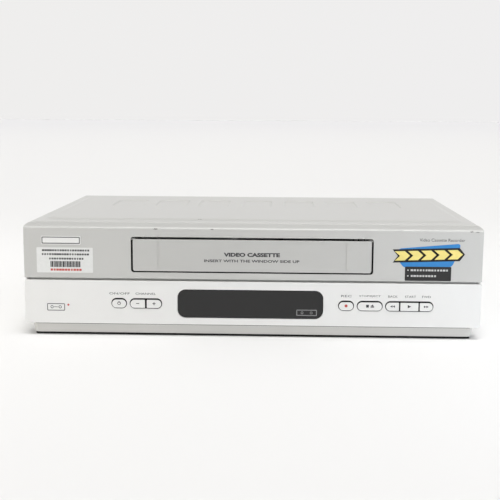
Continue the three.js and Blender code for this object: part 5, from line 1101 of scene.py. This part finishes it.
printed("key_record_sign", [record_dot], red_ink, "key_record")

# %% [markdown]
# On the left stand a small raised badge, left plain here, and an asset label of the kind that
# schools and offices stick on their machines. The label carries only ruled lines and
# a block of stripes. On the lower left is a small printed cassette with a red dot.

# %% Badge and asset label
BADGE_FACE, LABEL_THICK = -0.35, 0.1
badge = thickened("blank_badge", rounded(-175.3, -142.2, 77.0, 84.0, 0.8), "depth", BADGE_FACE, 0.4)
soften(badge, 0.15)
dress(badge, bright_silver, "housing", "silver_front")
edges = rounded(-174.7, -142.8, 77.6, 83.4, 0.6), rounded(-174.0, -143.5, 78.3, 82.7, 0.4)
printed("badge_line", [ring_film(*edges, BADGE_FACE)], dark_ink)
printed("asset_label", [film(rounded(-179.3, -132.2, 53.2, 74.4, 0.8), 0, LABEL_THICK)], label_stock)


# %% Dashes that stand for lines of small print
def dash_tree(name):
    """A row of dashes of random length at an even pitch, along x, as a Geometry Nodes tree."""
    kinds = {"Pitch": "Float", "Height": "Float", "Film": "Float", "Count": "Int", "Seed": "Int"}
    tree, given = group_tree(name, kinds)
    step = add(tree, "ShaderNodeCombineXYZ", {"X": given["Pitch"]}).outputs[0]
    line = add(tree, "GeometryNodeMeshLine", {"Count": given["Count"], "Offset": step}).outputs[0]
    share = add(tree, "FunctionNodeRandomValue", {2: 0.5, 3: 0.95, "Seed": given["Seed"]}).outputs[1]
    long = arithmetic(tree, "MULTIPLY", share, given["Pitch"])
    size = add(tree, "ShaderNodeCombineXYZ", {"X": long, "Y": given["Film"], "Z": given["Height"]}).outputs[0]
    cube = add(tree, "GeometryNodeMeshCube").outputs[0]
    return copies_on_points(tree, given["Finish"], {"Points": line, "Instance": cube, "Scale": size})


DASHES = dash_tree("dashes_of_random_length")


def print_line(x0, x1, z, height, pitch, seed, depth, material):
    """A line of dashes from x0 to about x1, printed at that depth."""
    values = {"Pitch": pitch * MM, "Height": height * MM, "Film": FILM * MM, "Count": round((x1 - x0) / pitch)}
    values |= {"Seed": seed, "Finish": material}
    piece = run_tree(placed("print_line", bpy.data.meshes.new("print_line")), DASHES, values)
    shift = at(x0 + pitch / 2, depth - FILM / 2, z)
    for vertex in piece.data.vertices:
        vertex.co += shift
    return piece


print("tree", DASHES.name, "with", len(DASHES.nodes), "nodes")

# %% Lines and stripes on the asset label
LINES = ((72.0, -174.8, -135.8), (68.7, -175.2, -134.4), (65.0, -169.2, -140.6))
STRIPES = [0.8, 1.3, 0.6, 0.8, 1.4, 0.9, 1.0, 0.6, 1.4, 0.7, 0.6, 1.2, 0.8, 1.3, 0.6, 1.0, 0.7, 1.3, 0.6, 1.1]
STRIPE_GAPS = (0.3, 0.45, 0.25)
ruled = []
for seed, (z, x0, x1) in enumerate(LINES):
    ruled.append(print_line(x0, x1, z, 1.5, 2.1, seed, -LABEL_THICK, dark_ink))
x = -167.8
for i, width in enumerate(STRIPES):
    ruled.append(film(rounded(x, x + width, 57.9, 62.9, 0), -LABEL_THICK))
    x += width + STRIPE_GAPS[i % len(STRIPE_GAPS)]
printed("label_print", ruled, dark_ink)
red_line = print_line(-168.0, -141.0, 55.7, 1.8, 2.4, 11, -LABEL_THICK, red_ink)
printed("label_red_line", [red_line], red_ink)

# %% Printed cassette on the panel
shell = ring_film(rounded(-171.5, -156.5, 20.8, 27.0, 0.8), rounded(-170.9, -157.1, 21.4, 26.4, 0.4))
reels = [ring_film(disc(x, 24.0, 1.3), disc(x, 24.0, 0.8)) for x in (-167.4, -160.6)]
printed("cassette_sign", [shell, *reels, film(bar(-164.0, 24.0, 3.4, 0.45))], dark_ink)
printed("cassette_sign_dot", [film(disc(-153.6, 25.9, 0.9))], red_ink)

# %% [markdown]
# A bright sticker fills the upper right of the bezel: a blue shape with bold yellow arrows edged
# in black, over a charcoal strip. The arrows simply point to the right. It is printed
# vinyl, smoother than the lacquer, and stands a tenth of a millimetre off the face.

# %% Blue field of the sticker
STICKER_THICK = 0.1
BLOB = [(120.4, 76.3), (171.8, 80.8), (170.0, 73.0), (164.8, 61.2), (125.6, 60.2), (121.0, 66.0)]


def filleted(corners, reach):
    """Rounds each corner of an outline with a curve that begins a given way before it."""
    points = []
    for i, corner in enumerate(corners):
        ends = []
        for other in (corners[i - 1], corners[(i + 1) % len(corners)]):
            away = math.dist(corner, other)
            share = min(reach, away * 0.45) / away
            ends.append(tuple(c + (o - c) * share for c, o in zip(corner, other)))
        points += bent(ends[0], corner, ends[1], 6)
    return points


printed("sticker_blue_field", [film(filleted(BLOB, 3.0), 0, STICKER_THICK)], sticker_blue)

# %% Arrows of the sticker
STICKER, LEAN, EDGE_GROW = (145.4, 71.0), 1.8, 1.6
ARROWS = [117.8 + 10.8 * i for i in range(5)]


def leaned(points, centre, degrees):
    """Turns outline points about a centre."""
    c, s = math.cos(math.radians(degrees)), math.sin(math.radians(degrees))
    away = [(x - centre[0], z - centre[1]) for x, z in points]
    return [(centre[0] + x * c - z * s, centre[1] + x * s + z * c) for x, z in away]


def chevron(x, grow):
    """An arrow head that points right, grown all round by an amount."""
    z, tall, arm, reach = STICKER[1], 3.9 + grow, 8.2 + 2.2 * grow, 4.3
    back = x - 1.1 * grow
    points = [(back, z - tall), (back + arm, z - tall), (back + arm + reach, z), (back + arm, z + tall)]
    return leaned(points + [(back, z + tall), (back + reach, z)], STICKER, LEAN)


printed("sticker_arrow_edges", [film(chevron(x, EDGE_GROW), -STICKER_THICK) for x in ARROWS], sticker_black)
printed("sticker_arrows", [film(chevron(x, 0), -STICKER_THICK - FILM) for x in ARROWS], sticker_yellow)

# %% Charcoal strip of the sticker
STRIP_THICK, STRIP_FACE = 0.05, -0.15
strip = film(rounded(126.5, 164.5, 49.5, 61.4, 0.8), -STICKER_THICK, STRIP_THICK)
printed("sticker_charcoal_strip", [strip], sticker_dark)
dashes = [film(disc(129.0, z, 0.6, 12), STRIP_FACE) for z in (58.4, 53.6)]
for x1, z, seed in ((162.5, 58.4, 21), (153.5, 53.6, 22)):
    dashes.append(print_line(131.0, x1, z, 1.5, 2.4, seed, STRIP_FACE, sticker_pale))
printed("sticker_dashes", dashes, sticker_pale)

# %% Faint sign in the window
tape = [ring_film(rounded(37.5, 54.5, 18.8, 23.9, 0.6), rounded(38.1, 53.9, 19.4, 23.3, 0.3), WINDOW_FACE)]
tape += [ring_film(disc(x, 21.3, 1.1), disc(x, 21.3, 0.7), WINDOW_FACE) for x in (42.2, 49.8)]
printed("window_sign", tape, window_ink)

# %% [markdown]
# All other solids keep the shape that the CAD gives them, and only get their finish. The table below
# reads like a parts list: each finish and the pieces made in it.

# %% Finishes of the remaining solids
FINISHES = {
    tray_grey: "chassis_tray",
    zinc_sheet: "rear_panel deck_plate lift_bracket_left lift_bracket_right cassette_holder idler_arm"
    " loading_motor",
    tinned: "tuner_can",
    drum_alloy: "drum_base drum_lower drum_upper",
    ground_steel: "capstan erase_head sound_head guide_carriage_supply guide_carriage_takeup",
    black_moulding: "mains_inlet scart_sockets audio_sockets idler_pulley supply_reel takeup_reel pinch_arm",
    acetal: "lift_slider_left lift_slider_right lift_shaft loading_gear loading_pinion",
    rubber: "idler_wheel reel_belt pinch_roller",
    green_board: "signal_board",
    motor_board: "capstan_motor",
    brown_board: "power_board",
    switch_board: "front_board",
    ferrite: "power_transformer",
    tube_glass: "display_tube",
}
for material, names in FINISHES.items():
    for name in names.split():
        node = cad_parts[name]
        node.data.materials.clear()
        node.data.materials.append(material)
print("finished", sum(len(names.split()) for names in FINISHES.values()), "solids")

# %% [markdown]
# Before the last line, the box round everything shown and the CAD's own box are printed side by side. The
# looks must not make the machine larger than the solids say it is.

# %% Sizes of the CAD and of what is shown
shown_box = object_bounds()
plain = [[[float(v) for v in corner] for corner in box] for box in (cad_box, shown_box)]
cad, shown = [[[round(v, 4) for v in corner] for corner in box] for box in plain]
print("cad", cad, "shown", shown)
